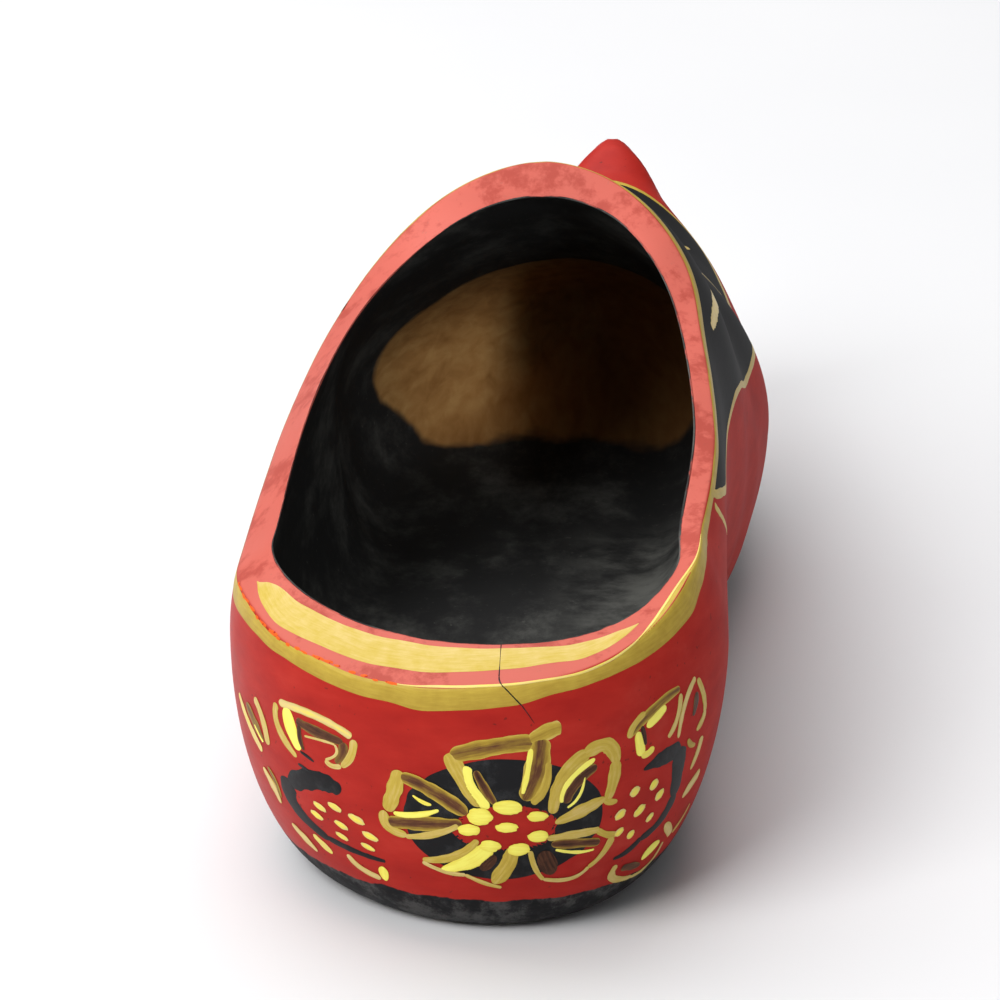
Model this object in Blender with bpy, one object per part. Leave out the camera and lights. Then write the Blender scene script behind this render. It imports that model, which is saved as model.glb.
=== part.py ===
"""Left wooden clog, carved from one block: sole, heel, upper and upturned toe, hollow and open at the collar.

It is drawn in millimetres: x towards the other foot, y from the back of the heel to the toe, z up from the floor.
The block is described by upright sections across the foot. Behind the first section the heel is turned round an
upright axis. The hollow is the same shape drawn in by the wall, and the collar cuts both off.
"""
import math

import bmesh
import bpy

NODE = "clog_body"
MILLIMETRE = 0.001

PAINT_COLOUR = (0.42, 0.035, 0.022, 1.0)
PAINT_ROUGHNESS = 0.35

# The block, a row per section. Sideways: middle of the section, half its width at the belly, and where its ridge is.
# Upwards: belly (the widest place), underside and top. Tread is half the width of the flat underside. Dome and under
# say how full the curves above and below the belly are: 2 is an ellipse, more is squarer.
BLOCK_COLUMNS = ("along", "middle", "half", "ridge", "belly", "tread", "sole", "top", "dome", "under")
BLOCK = (
    (44.0, -0.6, 44.7, -1.8, 40.0, 28.0, 0.0, 84.0, 2.05, 1.9),
    (78.0, -0.8, 43.5, 3.0, 40.0, 28.5, 0.0, 92.0, 2.5, 1.9),
    (104.0, 0.1, 42.8, 4.0, 38.0, 28.0, 10.5, 98.0, 2.3, 1.8),
    (132.0, 2.1, 44.5, 6.6, 35.0, 31.0, 3.5, 101.2, 1.92, 1.7),
    (150.0, 2.0, 47.2, 6.8, 32.5, 34.0, 0.0, 92.6, 1.6, 1.7),
    (174.0, 2.7, 48.3, 8.4, 30.0, 35.0, 0.0, 79.0, 1.74, 1.7),
    (192.0, 3.8, 45.6, 9.0, 29.0, 33.0, 1.7, 71.5, 1.7, 1.8),
    (215.0, 6.5, 39.5, 11.0, 30.5, 27.0, 7.0, 64.5, 1.8, 1.9),
    (236.0, 10.5, 28.0, 13.5, 38.0, 17.0, 18.0, 61.0, 2.0, 1.9),
    (250.0, 14.0, 15.5, 15.0, 49.0, 7.5, 34.0, 62.0, 2.0, 2.0),
    (261.0, 15.5, 7.4, 15.5, 57.5, 2.0, 48.5, 65.5, 2.0, 2.0),
    (264.8, 15.5, 4.2, 15.5, 60.5, 0.8, 55.0, 65.5, 2.0, 2.0),
    (266.0, 15.5, 0.0, 15.5, 61.5, 0.0, 61.5, 61.5, 2.0, 2.0),
)

# The heel behind the first section: how far it reaches back, and how far its back leans to the inner side.
HEEL_REACH = 44.0
HEEL_TREAD_REACH = 33.0
HEEL_LEAN = 3.5

# The wall, a row per section: thickness of the side and of the roof, and height of the floor inside.
WALL_COLUMNS = ("along", "side", "roof", "floor")
WALL = (
    (44.0, 6.5, 7.0, 22.0),
    (78.0, 5.6, 5.7, 22.0),
    (104.0, 6.4, 6.3, 21.0),
    (132.0, 8.4, 7.2, 18.0),
    (162.0, 9.9, 8.5, 15.5),
    (190.0, 11.0, 10.0, 15.0),
    (215.0, 12.0, 11.0, 18.0),
    (240.0, 12.0, 11.0, 24.0),
)

# The hollow: its wall behind the heel, its toe end with the place where it starts to round in and the height there
# as a share of the space, and the fullness of its curves.
HOLLOW_BACK_WALL = 11.8
HOLLOW_END = 238.0
HOLLOW_ROUNDS_FROM = 198.0
HOLLOW_END_SHARE = 0.4
HOLLOW_BELLY_SHARE = 0.45
HOLLOW_FLOOR_SHARE = 0.62
HOLLOW_UNDER = 2.6
HOLLOW_DOME_EXTRA = 0.1

# The collar's cut, a row per place along the foot: height of the rim's outer and inner edge. The outer edge also leans:
# it is lower on the clog's outer side, by this share of the distance from the middle.
COLLAR_COLUMNS = ("along", "outside", "inside")
COLLAR = (
    (-5.0, 49.3, 48.5),
    (3.0, 49.9, 51.9),
    (14.0, 52.8, 53.7),
    (30.0, 56.7, 57.3),
    (50.0, 57.8, 60.4),
    (80.0, 65.4, 70.3),
    (105.0, 74.2, 78.2),
    (120.0, 81.0, 86.8),
    (132.0, 94.2, 94.5),
    (142.0, 108.0, 108.5),
    (175.0, 155.0, 155.0),
)
COLLAR_FRONT_RANGE = (60.0, 174.0)
COLLAR_LEAN = 0.083

# How finely the surfaces are divided, and how much their sections crowd together at the opening's front and the toe.
HEEL_STEPS = 11
OPENING_STEPS = 22
TOE_STEPS = 22
SIDE_STEPS = 19
UNDER_STEPS = 3
CROWD_TO_FRONT = 1.8
CROWD_TO_TOE = 1.7
HALVINGS = 40
WELD_DECIMALS = 4
SHARP_ANGLE = math.radians(40.0)

INNER_SIDE = 1
OUTER_SIDE = -1
HEEL_AXIS = BLOCK[0][0]
TOE_END = BLOCK[-1][0]


def clear_scene():
    for item in list(bpy.data.objects):
        bpy.data.objects.remove(item)


def read_table(rows, column, along):
    """A column's value on a smooth curve through the rows, flat at the first, with no overshoot between them."""
    places = [row[0] for row in rows]
    along = min(max(along, places[0]), places[-1])
    step = max(i for i in range(len(rows) - 1) if places[i] <= along)
    runs = [(rows[i + 1][column] - rows[i][column]) / (places[i + 1] - places[i]) for i in range(len(rows) - 1)]

    def slope(row):
        before = runs[row - 1] if row else 0.0
        after = runs[min(row, len(runs) - 1)]
        return 2 * before * after / (before + after) if before * after > 0 else 0.0

    length = places[step + 1] - places[step]
    t = (along - places[step]) / length
    u = 1 - t
    start = rows[step][column] * (1 + 2 * t) + slope(step) * length * t
    end = rows[step + 1][column] * (1 + 2 * u) - slope(step + 1) * length * u
    return start * u * u + end * t * t


def read_row(rows, columns, along):
    return {name: read_table(rows, index, along) for index, name in enumerate(columns) if index}


def block_section(along):
    section = read_row(BLOCK, BLOCK_COLUMNS, along)
    section["reach"] = HEEL_REACH
    section["tread_reach"] = HEEL_TREAD_REACH
    return section


def hollow_section(along):
    """The block's section drawn in by the wall, and closed in a round at the toe."""
    block = block_section(along)
    wall = read_row(WALL, WALL_COLUMNS, along)
    closing = max(0.0, (along - HOLLOW_ROUNDS_FROM) / (HOLLOW_END - HOLLOW_ROUNDS_FROM))
    share = math.sqrt(max(0.0, 1 - closing * closing))
    space = block["top"] - wall["roof"] - wall["floor"]
    centre = wall["floor"] + HOLLOW_END_SHARE * space
    floor = centre + (wall["floor"] - centre) * share
    half = (block["half"] - wall["side"]) * share
    reach = HEEL_REACH - HOLLOW_BACK_WALL
    return {
        "middle": block["middle"],
        "half": half,
        "ridge": block["middle"] + (block["ridge"] - block["middle"]) * share,
        "belly": floor + HOLLOW_BELLY_SHARE * space * share,
        "tread": half * HOLLOW_FLOOR_SHARE,
        "sole": floor,
        "top": floor + space * share,
        "dome": block["dome"] + HOLLOW_DOME_EXTRA,
        "under": HOLLOW_UNDER,
        "reach": reach,
        "tread_reach": reach * HOLLOW_FLOOR_SHARE,
    }


def surface_point(section, side, along, turn, climb):
    """A point on a section: climb runs from 1 at the ridge through 0 at the belly to -1 at the edge of the sole.

    Turn is 0 ahead of the heel axis, and up to a right angle for the heel's round behind it.
    """
    angle = abs(climb) * math.pi / 2
    if climb >= 0:
        power = 2 / section["dome"]
        shrink = max(0.0, math.cos(angle)) ** power
        rise = math.sin(angle) ** power
        out = section["half"] * shrink
        behind = section["reach"] * shrink
        height = section["belly"] + (section["top"] - section["belly"]) * rise
        middle = section["middle"] + (section["ridge"] - section["middle"]) * rise
    else:
        power = 2 / section["under"]
        shrink = max(0.0, math.cos(angle)) ** power
        drop = math.sin(angle) ** power
        out = section["tread"] + (section["half"] - section["tread"]) * shrink
        behind = section["tread_reach"] + (section["reach"] - section["tread_reach"]) * shrink
        height = section["belly"] - (section["belly"] - section["sole"]) * drop
        middle = section["middle"]
    across = middle + HEEL_LEAN * math.sin(turn) ** 2 + side * out * math.cos(turn)
    return (across, along - behind * math.sin(turn), height)


def halve(low, high, is_past):
    """The place between low and high from which is_past holds."""
    for _ in range(HALVINGS):
        middle = (low + high) / 2
        if is_past(middle):
            high = middle
        else:
            low = middle
    return low


def collar_height(edge, across, along):
    lean = COLLAR_LEAN if edge == "outside" else 0.0
    return read_table(COLLAR, COLLAR_COLUMNS.index(edge), along) + lean * across


def climb_to_collar(section, edge, side, along, turn):
    def is_above(climb):
        across, place, height = surface_point(section, side, along, turn, climb)
        return height > collar_height(edge, across, place)

    return halve(-1.0, 1.0, is_above)


def stations(section_at, edge, end):
    """Where the sections stand, as along, turn and whether the collar cuts them off, from the back to the toe."""
    def is_ahead_of_collar(along):
        section = section_at(along)
        return collar_height(edge, section["ridge"], along) > section["top"]

    front = halve(*COLLAR_FRONT_RANGE, is_ahead_of_collar)
    places = []
    for i in range(HEEL_STEPS):
        places.append((HEEL_AXIS, math.pi / 2 * (1 - i / HEEL_STEPS), True))
    for i in range(OPENING_STEPS):
        share = 1 - (1 - i / OPENING_STEPS) ** CROWD_TO_FRONT
        places.append((HEEL_AXIS + (front - HEEL_AXIS) * share, 0.0, True))
    for i in range(TOE_STEPS + 1):
        share = 1 - (1 - i / TOE_STEPS) ** CROWD_TO_TOE
        places.append((front + (end - front) * share, 0.0, False))
    return places


def surface_rows(section_at, edge, end, side):
    """One half of a surface: a row of points for each station, from the collar or ridge down and in to the middle."""
    rows = []
    for along, turn, is_cut in stations(section_at, edge, end):
        section = section_at(along)
        start = climb_to_collar(section, edge, side, along, turn) if is_cut else 1.0
        row = []
        for i in range(SIDE_STEPS + 1):
            climb = start + (-1.0 - start) * i / SIDE_STEPS
            row.append(surface_point(section, side, along, turn, climb))
        across, place, height = row[-1]
        for i in range(1, UNDER_STEPS + 1):
            share = i / UNDER_STEPS
            row.append((across + (section["middle"] - across) * share, place + (along - place) * share, height))
        rows.append(row)
    return rows


def weld_vertex(mesh, welded, place):
    key = tuple(round(value, WELD_DECIMALS) for value in place)
    if key not in welded:
        welded[key] = mesh.verts.new([value * MILLIMETRE for value in place])
    return welded[key]


def add_face(mesh, welded, corners):
    """A face between the corners; corners that fall together become one, and a face without area is left out."""
    vertices = []
    for place in corners:
        vertex = weld_vertex(mesh, welded, place)
        if vertex not in vertices:
            vertices.append(vertex)
    if len(vertices) > 2:
        mesh.faces.new(vertices)


def add_surface(mesh, welded, rows):
    for here, ahead in zip(rows, rows[1:]):
        for i in range(len(here) - 1):
            add_face(mesh, welded, (here[i], here[i + 1], ahead[i + 1], ahead[i]))


def add_rim(mesh, welded, outside, inside):
    for i in range(HEEL_STEPS + OPENING_STEPS):
        add_face(mesh, welded, (outside[i][0], outside[i + 1][0], inside[i + 1][0], inside[i][0]))


def centre_on_floor(mesh):
    """Move the block so that the middle of its box is over the origin; it already stands on the floor."""
    for axis in (0, 1):
        values = [vertex.co[axis] for vertex in mesh.verts]
        shift = (min(values) + max(values)) / 2
        for vertex in mesh.verts:
            vertex.co[axis] -= shift


def painted_wood():
    material = bpy.data.materials.new("painted_wood")
    material.use_nodes = True
    shader = material.node_tree.nodes["Principled BSDF"]
    shader.inputs["Base Color"].default_value = PAINT_COLOUR
    shader.inputs["Roughness"].default_value = PAINT_ROUGHNESS
    shader.inputs["Metallic"].default_value = 0.0
    return material


def build_clog():
    mesh = bmesh.new()
    welded = {}
    for side in (INNER_SIDE, OUTER_SIDE):
        outside = surface_rows(block_section, "outside", TOE_END, side)
        inside = surface_rows(hollow_section, "inside", HOLLOW_END, side)
        add_surface(mesh, welded, outside)
        add_surface(mesh, welded, inside)
        add_rim(mesh, welded, outside, inside)
    centre_on_floor(mesh)
    bmesh.ops.recalc_face_normals(mesh, faces=mesh.faces)
    data = bpy.data.meshes.new(NODE)
    mesh.to_mesh(data)
    mesh.free()
    data.shade_smooth()
    data.set_sharp_from_angle(angle=SHARP_ANGLE)
    data.materials.append(painted_wood())
    clog = bpy.data.objects.new(NODE, data)
    bpy.context.scene.collection.objects.link(clog)
    return clog


clear_scene()
build_clog()
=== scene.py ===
"""Looks of the painted clog: a finely divided shell, its paint, flowers, floor, light and camera."""

import math

import bpy
import numpy as np
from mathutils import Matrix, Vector, noise


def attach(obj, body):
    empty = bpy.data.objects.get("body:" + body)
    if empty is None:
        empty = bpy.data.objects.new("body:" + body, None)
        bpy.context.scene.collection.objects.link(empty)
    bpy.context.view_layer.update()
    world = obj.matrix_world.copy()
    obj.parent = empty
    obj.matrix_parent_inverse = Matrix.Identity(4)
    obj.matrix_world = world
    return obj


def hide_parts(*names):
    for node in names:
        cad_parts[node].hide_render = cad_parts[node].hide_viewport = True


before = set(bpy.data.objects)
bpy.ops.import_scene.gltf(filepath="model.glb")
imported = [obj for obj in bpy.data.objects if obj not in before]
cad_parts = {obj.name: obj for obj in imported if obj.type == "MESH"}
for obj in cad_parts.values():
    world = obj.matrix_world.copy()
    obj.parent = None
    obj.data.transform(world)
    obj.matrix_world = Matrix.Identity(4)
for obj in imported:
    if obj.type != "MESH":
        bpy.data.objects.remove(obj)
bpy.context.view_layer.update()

# The clog's sizes in millimetres, as the part's source has them: x to the inner side, y heel to toe, z up.
MILLIMETRE = 0.001
BLOCK_SHIFT = np.array((2.709, 133.0, 0.0))
BLOCK_COLUMNS = ("along", "middle", "half", "ridge", "belly", "tread", "sole", "top", "dome", "under")
BLOCK = (
    (44.0, -0.6, 44.7, -1.8, 40.0, 28.0, 0.0, 84.0, 2.05, 1.9),
    (78.0, -0.8, 43.5, 3.0, 40.0, 28.5, 0.0, 92.0, 2.5, 1.9),
    (104.0, 0.1, 42.8, 4.0, 38.0, 28.0, 10.5, 98.0, 2.3, 1.8),
    (132.0, 2.1, 44.5, 6.6, 35.0, 31.0, 3.5, 101.2, 1.92, 1.7),
    (150.0, 2.0, 47.2, 6.8, 32.5, 34.0, 0.0, 92.6, 1.6, 1.7),
    (174.0, 2.7, 48.3, 8.4, 30.0, 35.0, 0.0, 79.0, 1.74, 1.7),
    (192.0, 3.8, 45.6, 9.0, 29.0, 33.0, 1.7, 71.5, 1.7, 1.8),
    (215.0, 6.5, 39.5, 11.0, 30.5, 27.0, 7.0, 64.5, 1.8, 1.9),
    (236.0, 10.5, 28.0, 13.5, 38.0, 17.0, 18.0, 61.0, 2.0, 1.9),
    (250.0, 14.0, 15.5, 15.0, 49.0, 7.5, 34.0, 62.0, 2.0, 2.0),
    (261.0, 15.5, 7.4, 15.5, 57.5, 2.0, 48.5, 65.5, 2.0, 2.0),
    (264.8, 15.5, 4.2, 15.5, 60.5, 0.8, 55.0, 65.5, 2.0, 2.0),
    (266.0, 15.5, 0.0, 15.5, 61.5, 0.0, 61.5, 61.5, 2.0, 2.0),
)
HEEL_REACH = 44.0
HEEL_TREAD_REACH = 33.0
HEEL_LEAN = 3.5
WALL_COLUMNS = ("along", "side", "roof", "floor")
WALL = (
    (44.0, 6.5, 7.0, 22.0),
    (78.0, 5.6, 5.7, 22.0),
    (104.0, 6.4, 6.3, 21.0),
    (132.0, 8.4, 7.2, 18.0),
    (162.0, 9.9, 8.5, 15.5),
    (190.0, 11.0, 10.0, 15.0),
    (215.0, 12.0, 11.0, 18.0),
    (240.0, 12.0, 11.0, 24.0),
)
HOLLOW_BACK_WALL = 11.8
HOLLOW_END = 238.0
HOLLOW_ROUNDS_FROM = 198.0
HOLLOW_END_SHARE = 0.4
HOLLOW_BELLY_SHARE = 0.45
HOLLOW_FLOOR_SHARE = 0.62
HOLLOW_UNDER = 2.6
HOLLOW_DOME_EXTRA = 0.1
COLLAR_COLUMNS = ("along", "outside", "inside")
COLLAR = (
    (-5.0, 49.3, 48.5),
    (3.0, 49.9, 51.9),
    (14.0, 52.8, 53.7),
    (30.0, 56.7, 57.3),
    (50.0, 57.8, 60.4),
    (80.0, 65.4, 70.3),
    (105.0, 74.2, 78.2),
    (120.0, 81.0, 86.8),
    (132.0, 94.2, 94.5),
    (142.0, 108.0, 108.5),
    (175.0, 155.0, 155.0),
)
COLLAR_FRONT_RANGE = (60.0, 174.0)
COLLAR_LEAN = 0.083
HEEL_AXIS = BLOCK[0][0]
TOE_END = BLOCK[-1][0]
INNER_SIDE = 1
OUTER_SIDE = -1
SIDES = (INNER_SIDE, OUTER_SIDE)

# How finely the shell is divided: paths from the rim to the sole round the clog, and steps along each path.
HEEL_PATHS = 44
WAIST_PATHS = 22
FRONT_PATHS = 104
APEX_PATH = HEEL_PATHS + WAIST_PATHS + FRONT_PATHS
FRONT_CROWDING = 1.5
PATCH_SHARE = 0.35
DENSE_STEPS = 260
OUTSIDE_STEPS = 120
INSIDE_STEPS = 56
RIM_STEPS = 8
ROUND_STEPS = 5
UNDER_STEPS = 8
HALVINGS = 40
WELD_DECIMALS = 4
# A quarter of a section is about this share of its two straight sides.
GIRTH_SHARE = 0.8
LEAST_GIRTH = 1e-6
TINY = 1e-9

# Hand work on the wood: rounding of the rim's edges, at most a share of the rim's width, the skin left for
# raised paint, which thins out near the toe's tip, and the knife's waves.
OUTER_EDGE_ROUND = 0.9
OUTER_ROUND_SHARE = 0.3
INNER_EDGE_ROUND = 1.2
INNER_ROUND_SHARE = 0.4
PAINT_ROOM = 0.25
TIP_FADE = 3.0
TIP_SHARE = 0.3
KNIFE_DEPTH = 0.25
KNIFE_WAVE = 26.0
KNIFE_CONTRAST = 1.6

# Charts on which paint is laid, and how strokes of paint are divided and stand off the wood, in millimetres.
CHART_STEP = 0.5
SIDE_CHART_END = 150.0
SIDE_CHART_TOP = 60.0
SIDE_CHART_CLIMB = 0.97
SIDE_CHART_TURNS = 90
SIDE_CHART_STATIONS = 110
RIM_CHART_DOWN = 150.0
RIM_CHART_IN = 14.0
RIM_CHART_FINE_FROM = -6.0
RIM_CHART_COARSE = 1.0
RIM_CHART_FINE = 0.25
STROKE_STEP = 0.4
STROKE_LEAST_STEPS = 14
STROKE_ACROSS = 6
STROKE_LEAST_WIDTH = 0.1
STROKE_WOBBLE = 0.22
STROKE_TONE_POWER = 2.5
LEAST_STRETCH = 0.2
DAB_STEP = 0.9
DAB_LEAST_ROUND = 28
DAB_LEAST_RINGS = 5
DAB_WOBBLE = 0.16
DAB_RAGGED = (1.7, 3.0)
DAB_TONE_POWER = 3
DAB_THICK = 0.08
FILM_THICK = 0.01
BAND_STEP = 0.8
BAND_ACROSS = 6
BAND_WOBBLE = 0.25
PAINT_BASE = 0.02
PAINT_STEP = 0.004
PAINT_THICK = 0.035
PAINT_EDGE_POWER = 4
BRUSH_SHIFT = np.array((13.7, 5.3, 0.0))
# The noise that makes an edge unsteady, read between its whole steps: its pace along the edge, its shift per
# layer and its start.
NOISE_LEVEL = 0.5
WOBBLES = {
    "stroke": (0.6, 3.1, 0.0),
    "dab": (1.0, 2.3, 11.0),
    "band": (0.18, 1.0, 0.7),
    "line": (0.3, 1.0, 0.4),
}
# What lies over what, where a piece doesn't start on the wood.
CENTRE_LAYER = 2
PETAL_LAYER = 3
CRACK_LAYER = 4
CHIP_LAYER = 6

# The flowers. Places are on the chart of the sides: round from the back's middle, and up from the sole.
STROKE_PLACES = ("start", "middle", "end")
PLACE_VALUES = 2 * len(STROKE_PLACES)
STROKE_COLUMNS = (
    "start_round", "start_up", "middle_round", "middle_up", "end_round", "end_up",
    "start_width", "middle_width", "end_width", "edge_tone", "core_tone",
)
HEEL_DISC_PLACE = (3.3, 27.4)
HEEL_DISC_HALF = (18.6, 12.2)
DISC_WOBBLE = 0.05
HEEL_CENTRE_PLACE = (3.7, 26.4)
HEEL_CENTRE_HALF = (9.6, 4.6)
CENTRE_WOBBLE = 0.12
HEEL_STROKES = (
    (-6.1, 40.7, -4.2, 36.8, -0.8, 30.6, 2.9, 2.9, 2.1, 0.5, 0.5),
    (-2.9, 38.4, -2.4, 34.4, 0.8, 30.3, 1.7, 2.3, 1.4, 0.95, 1.0),
    (-1.5, 37.6, 0.0, 34.4, 2.0, 31.1, 1.0, 1.7, 0.9, 0.35, 0.08),
    (-5.9, 40.2, 2.2, 42.3, 8.4, 43.0, 3.3, 3.4, 3.3, 0.5, 0.2),
    (7.5, 43.2, 11.3, 45.0, 13.4, 45.6, 2.4, 2.9, 2.4, 0.6, 0.35),
    (9.7, 43.8, 9.1, 37.9, 7.0, 31.9, 2.9, 4.2, 2.9, 0.55, 0.15),
    (8.1, 41.8, 7.5, 37.0, 6.7, 33.1, 0.9, 1.2, 0.9, 0.9, 0.95),
    (11.0, 39.2, 10.5, 34.3, 8.3, 31.3, 1.2, 1.7, 1.4, 0.5, 0.45),
    (12.2, 29.0, 13.8, 36.0, 18.4, 40.3, 1.9, 2.7, 2.4, 0.5, 0.5),
    (17.5, 39.8, 21.8, 41.2, 23.9, 37.3, 2.1, 2.9, 2.4, 0.5, 0.5),
    (23.7, 38.1, 23.5, 34.4, 22.5, 30.5, 2.4, 2.2, 1.6, 0.5, 0.5),
    (14.4, 30.9, 16.2, 34.8, 20.0, 37.6, 1.6, 2.3, 1.4, 0.25, 0.06),
    (13.8, 31.1, 14.8, 34.9, 19.6, 39.0, 0.7, 1.2, 0.9, 0.95, 1.0),
    (14.8, 30.0, 16.9, 32.1, 17.8, 35.7, 0.4, 0.6, 0.3, 1.0, 1.0),
    (21.9, 30.6, 23.2, 30.0, 24.7, 30.0, 1.2, 1.3, 0.9, 0.5, 0.5),
    (12.7, 27.1, 17.1, 28.9, 22.1, 31.0, 0.8, 2.5, 1.2, 0.5, 0.55),
    (11.4, 24.0, 17.6, 24.4, 21.6, 24.7, 1.2, 1.7, 1.4, 0.55, 0.55),
    (21.1, 24.7, 24.0, 23.1, 27.0, 23.3, 1.4, 1.4, 0.9, 0.5, 0.5),
    (12.3, 22.8, 17.8, 22.4, 22.1, 22.0, 1.6, 2.1, 1.4, 0.35, 0.08),
    (13.2, 21.5, 17.5, 20.5, 21.1, 20.6, 0.5, 0.7, 0.4, 1.0, 1.0),
    (24.7, 22.6, 23.1, 19.1, 20.5, 16.7, 1.4, 1.3, 0.9, 0.5, 0.55),
    (20.6, 16.8, 17.2, 14.6, 11.4, 15.1, 0.8, 0.9, 0.9, 0.6, 0.6),
    (11.5, 15.0, 9.6, 17.7, 8.4, 21.6, 0.9, 1.0, 1.1, 0.55, 0.55),
    (10.8, 21.4, 12.0, 18.5, 13.4, 16.2, 2.9, 3.5, 2.4, 0.06, 0.04),
    (4.2, 22.2, 4.5, 19.2, 1.5, 14.4, 1.9, 3.1, 2.9, 0.45, 0.5),
    (-0.6, 17.3, 0.6, 19.2, 2.1, 20.5, 1.6, 2.5, 1.7, 0.1, 0.05),
    (-3.9, 16.2, 0.0, 14.4, 3.2, 13.5, 0.8, 0.9, 0.8, 0.55, 0.55),
    (-1.3, 23.9, -5.5, 20.2, -12.0, 18.8, 1.2, 1.7, 0.9, 0.5, 0.5),
    (1.0, 22.8, -2.4, 19.6, -8.5, 16.9, 2.1, 3.4, 1.0, 0.85, 1.0),
    (-12.1, 18.3, -7.8, 16.6, -3.8, 16.2, 0.8, 0.9, 0.8, 0.6, 0.6),
    (-15.1, 36.6, -16.4, 32.0, -18.0, 28.2, 2.9, 3.1, 2.7, 0.5, 0.5),
    (-18.5, 28.2, -18.1, 25.0, -14.5, 23.7, 1.9, 2.0, 1.6, 0.5, 0.55),
    (-14.9, 35.5, -9.5, 33.4, -3.1, 29.1, 1.9, 2.9, 2.3, 0.5, 0.14),
    (-18.0, 26.0, -11.5, 26.5, -4.0, 27.0, 2.1, 3.0, 2.1, 0.45, 0.12),
    (-16.7, 28.0, -12.7, 28.0, -8.1, 29.5, 0.8, 1.3, 0.6, 0.9, 1.0),
    (-12.8, 32.0, -10.9, 30.8, -9.4, 30.5, 0.4, 0.8, 0.4, 0.85, 0.9),
    (-14.8, 23.4, -9.3, 24.5, -4.7, 26.8, 1.0, 1.4, 1.2, 0.55, 0.55),
)
# Dots, as round, up, half across and half up. Tones are those of edge and core, a tilt is in degrees.
HEEL_DOT_TONES = (0.85, 0.97)
SIDE_DOT_TONES = (0.7, 0.85)
OUTER_DOT_TILT = -20.0
INNER_DOT_TILT = 40.0
HEEL_DOTS = (
    (4.1, 30.6, 2.6, 1.5),
    (-0.8, 28.7, 2.3, 1.8),
    (-2.8, 25.9, 2.1, 1.2),
    (1.0, 22.7, 1.9, 1.2),
    (6.3, 22.0, 2.1, 1.3),
    (9.7, 24.6, 1.9, 1.2),
    (9.4, 28.7, 1.8, 1.0),
    (4.0, 26.6, 2.0, 1.0),
)
OUTER_STROKES = (
    (-39.1, 43.8, -38.0, 39.9, -36.1, 36.3, 3.0, 3.0, 1.8, 0.9, 1.0),
    (-41.8, 43.7, -41.8, 39.4, -37.2, 34.7, 1.4, 1.8, 1.2, 0.5, 0.55),
    (-41.1, 44.2, -31.4, 43.9, -24.1, 41.5, 1.5, 1.5, 1.5, 0.55, 0.75),
    (-23.7, 41.1, -24.4, 37.8, -26.6, 35.4, 1.7, 1.6, 1.2, 0.55, 0.55),
    (-26.6, 35.4, -28.7, 35.1, -30.0, 35.9, 1.0, 1.0, 0.9, 0.6, 0.6),
    (-36.5, 42.0, -32.3, 41.1, -25.9, 40.2, 1.4, 2.0, 1.6, 0.2, 0.08),
    (-25.9, 40.2, -26.2, 38.0, -27.8, 35.9, 1.7, 1.7, 1.3, 0.25, 0.15),
    (-35.8, 41.3, -35.8, 38.6, -35.0, 36.6, 1.0, 1.2, 0.6, 0.15, 0.06),
    (-34.6, 39.5, -30.5, 39.6, -27.7, 39.4, 0.4, 0.5, 0.4, 0.6, 0.6),
    (-27.7, 39.4, -27.5, 37.6, -30.0, 36.0, 0.5, 0.6, 0.5, 0.6, 0.6),
    (-57.7, 40.3, -53.8, 36.4, -48.7, 32.2, 1.5, 1.8, 1.5, 0.7, 0.75),
    (-49.5, 42.4, -46.8, 39.0, -46.0, 34.4, 1.5, 1.9, 1.5, 0.55, 0.6),
    (-53.5, 40.0, -50.2, 37.2, -47.6, 34.5, 2.0, 2.6, 1.4, 0.3, 0.2),
    (-50.6, 37.0, -49.0, 35.5, -47.6, 34.4, 0.7, 1.0, 0.7, 0.9, 0.95),
    (-29.1, 16.6, -26.8, 14.1, -22.3, 12.7, 1.2, 1.6, 1.2, 0.6, 0.65),
    (-21.0, 15.7, -21.2, 14.2, -21.3, 12.3, 1.4, 2.2, 1.4, 0.85, 0.95),
    (-37.6, 18.6, -35.6, 17.0, -33.4, 15.6, 1.2, 1.8, 1.0, 0.75, 0.8),
    (-50.0, 28.5, -47.4, 25.6, -46.2, 22.4, 1.6, 2.4, 1.2, 0.5, 0.7),
    (-47.8, 29.4, -45.8, 27.0, -45.2, 24.0, 0.8, 1.2, 0.6, 0.5, 0.2),
    (-44.6, 18.6, -41.6, 16.6, -38.6, 14.4, 1.2, 2.2, 1.2, 0.55, 0.7),
)
# Dark strokes have no tones; their rows end with the widths.
OUTER_DARK = (
    (-27.3, 30.2, -33.2, 31.2, -40.9, 28.4, 3.0, 4.0, 4.6),
    (-40.6, 29.0, -40.8, 23.7, -32.8, 18.8, 4.6, 3.4, 1.6),
    (-33.4, 19.1, -26.1, 17.7, -20.1, 17.0, 1.5, 1.3, 0.7),
    (-36.1, 36.1, -34.5, 35.6, -32.8, 34.9, 0.5, 0.8, 0.3),
    (-37.1, 33.4, -35.7, 33.1, -34.3, 32.7, 0.4, 0.7, 0.3),
)
OUTER_DOTS = (
    (-33.2, 25.8, 1.6, 0.7),
    (-29.3, 26.7, 1.6, 0.7),
    (-34.5, 23.7, 1.6, 0.7),
    (-28.6, 23.1, 1.6, 0.7),
    (-24.7, 25.2, 1.8, 0.8),
    (-29.1, 20.6, 1.5, 0.6),
    (-22.3, 22.1, 1.8, 0.8),
    (-23.4, 19.6, 1.6, 0.6),
)
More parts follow.
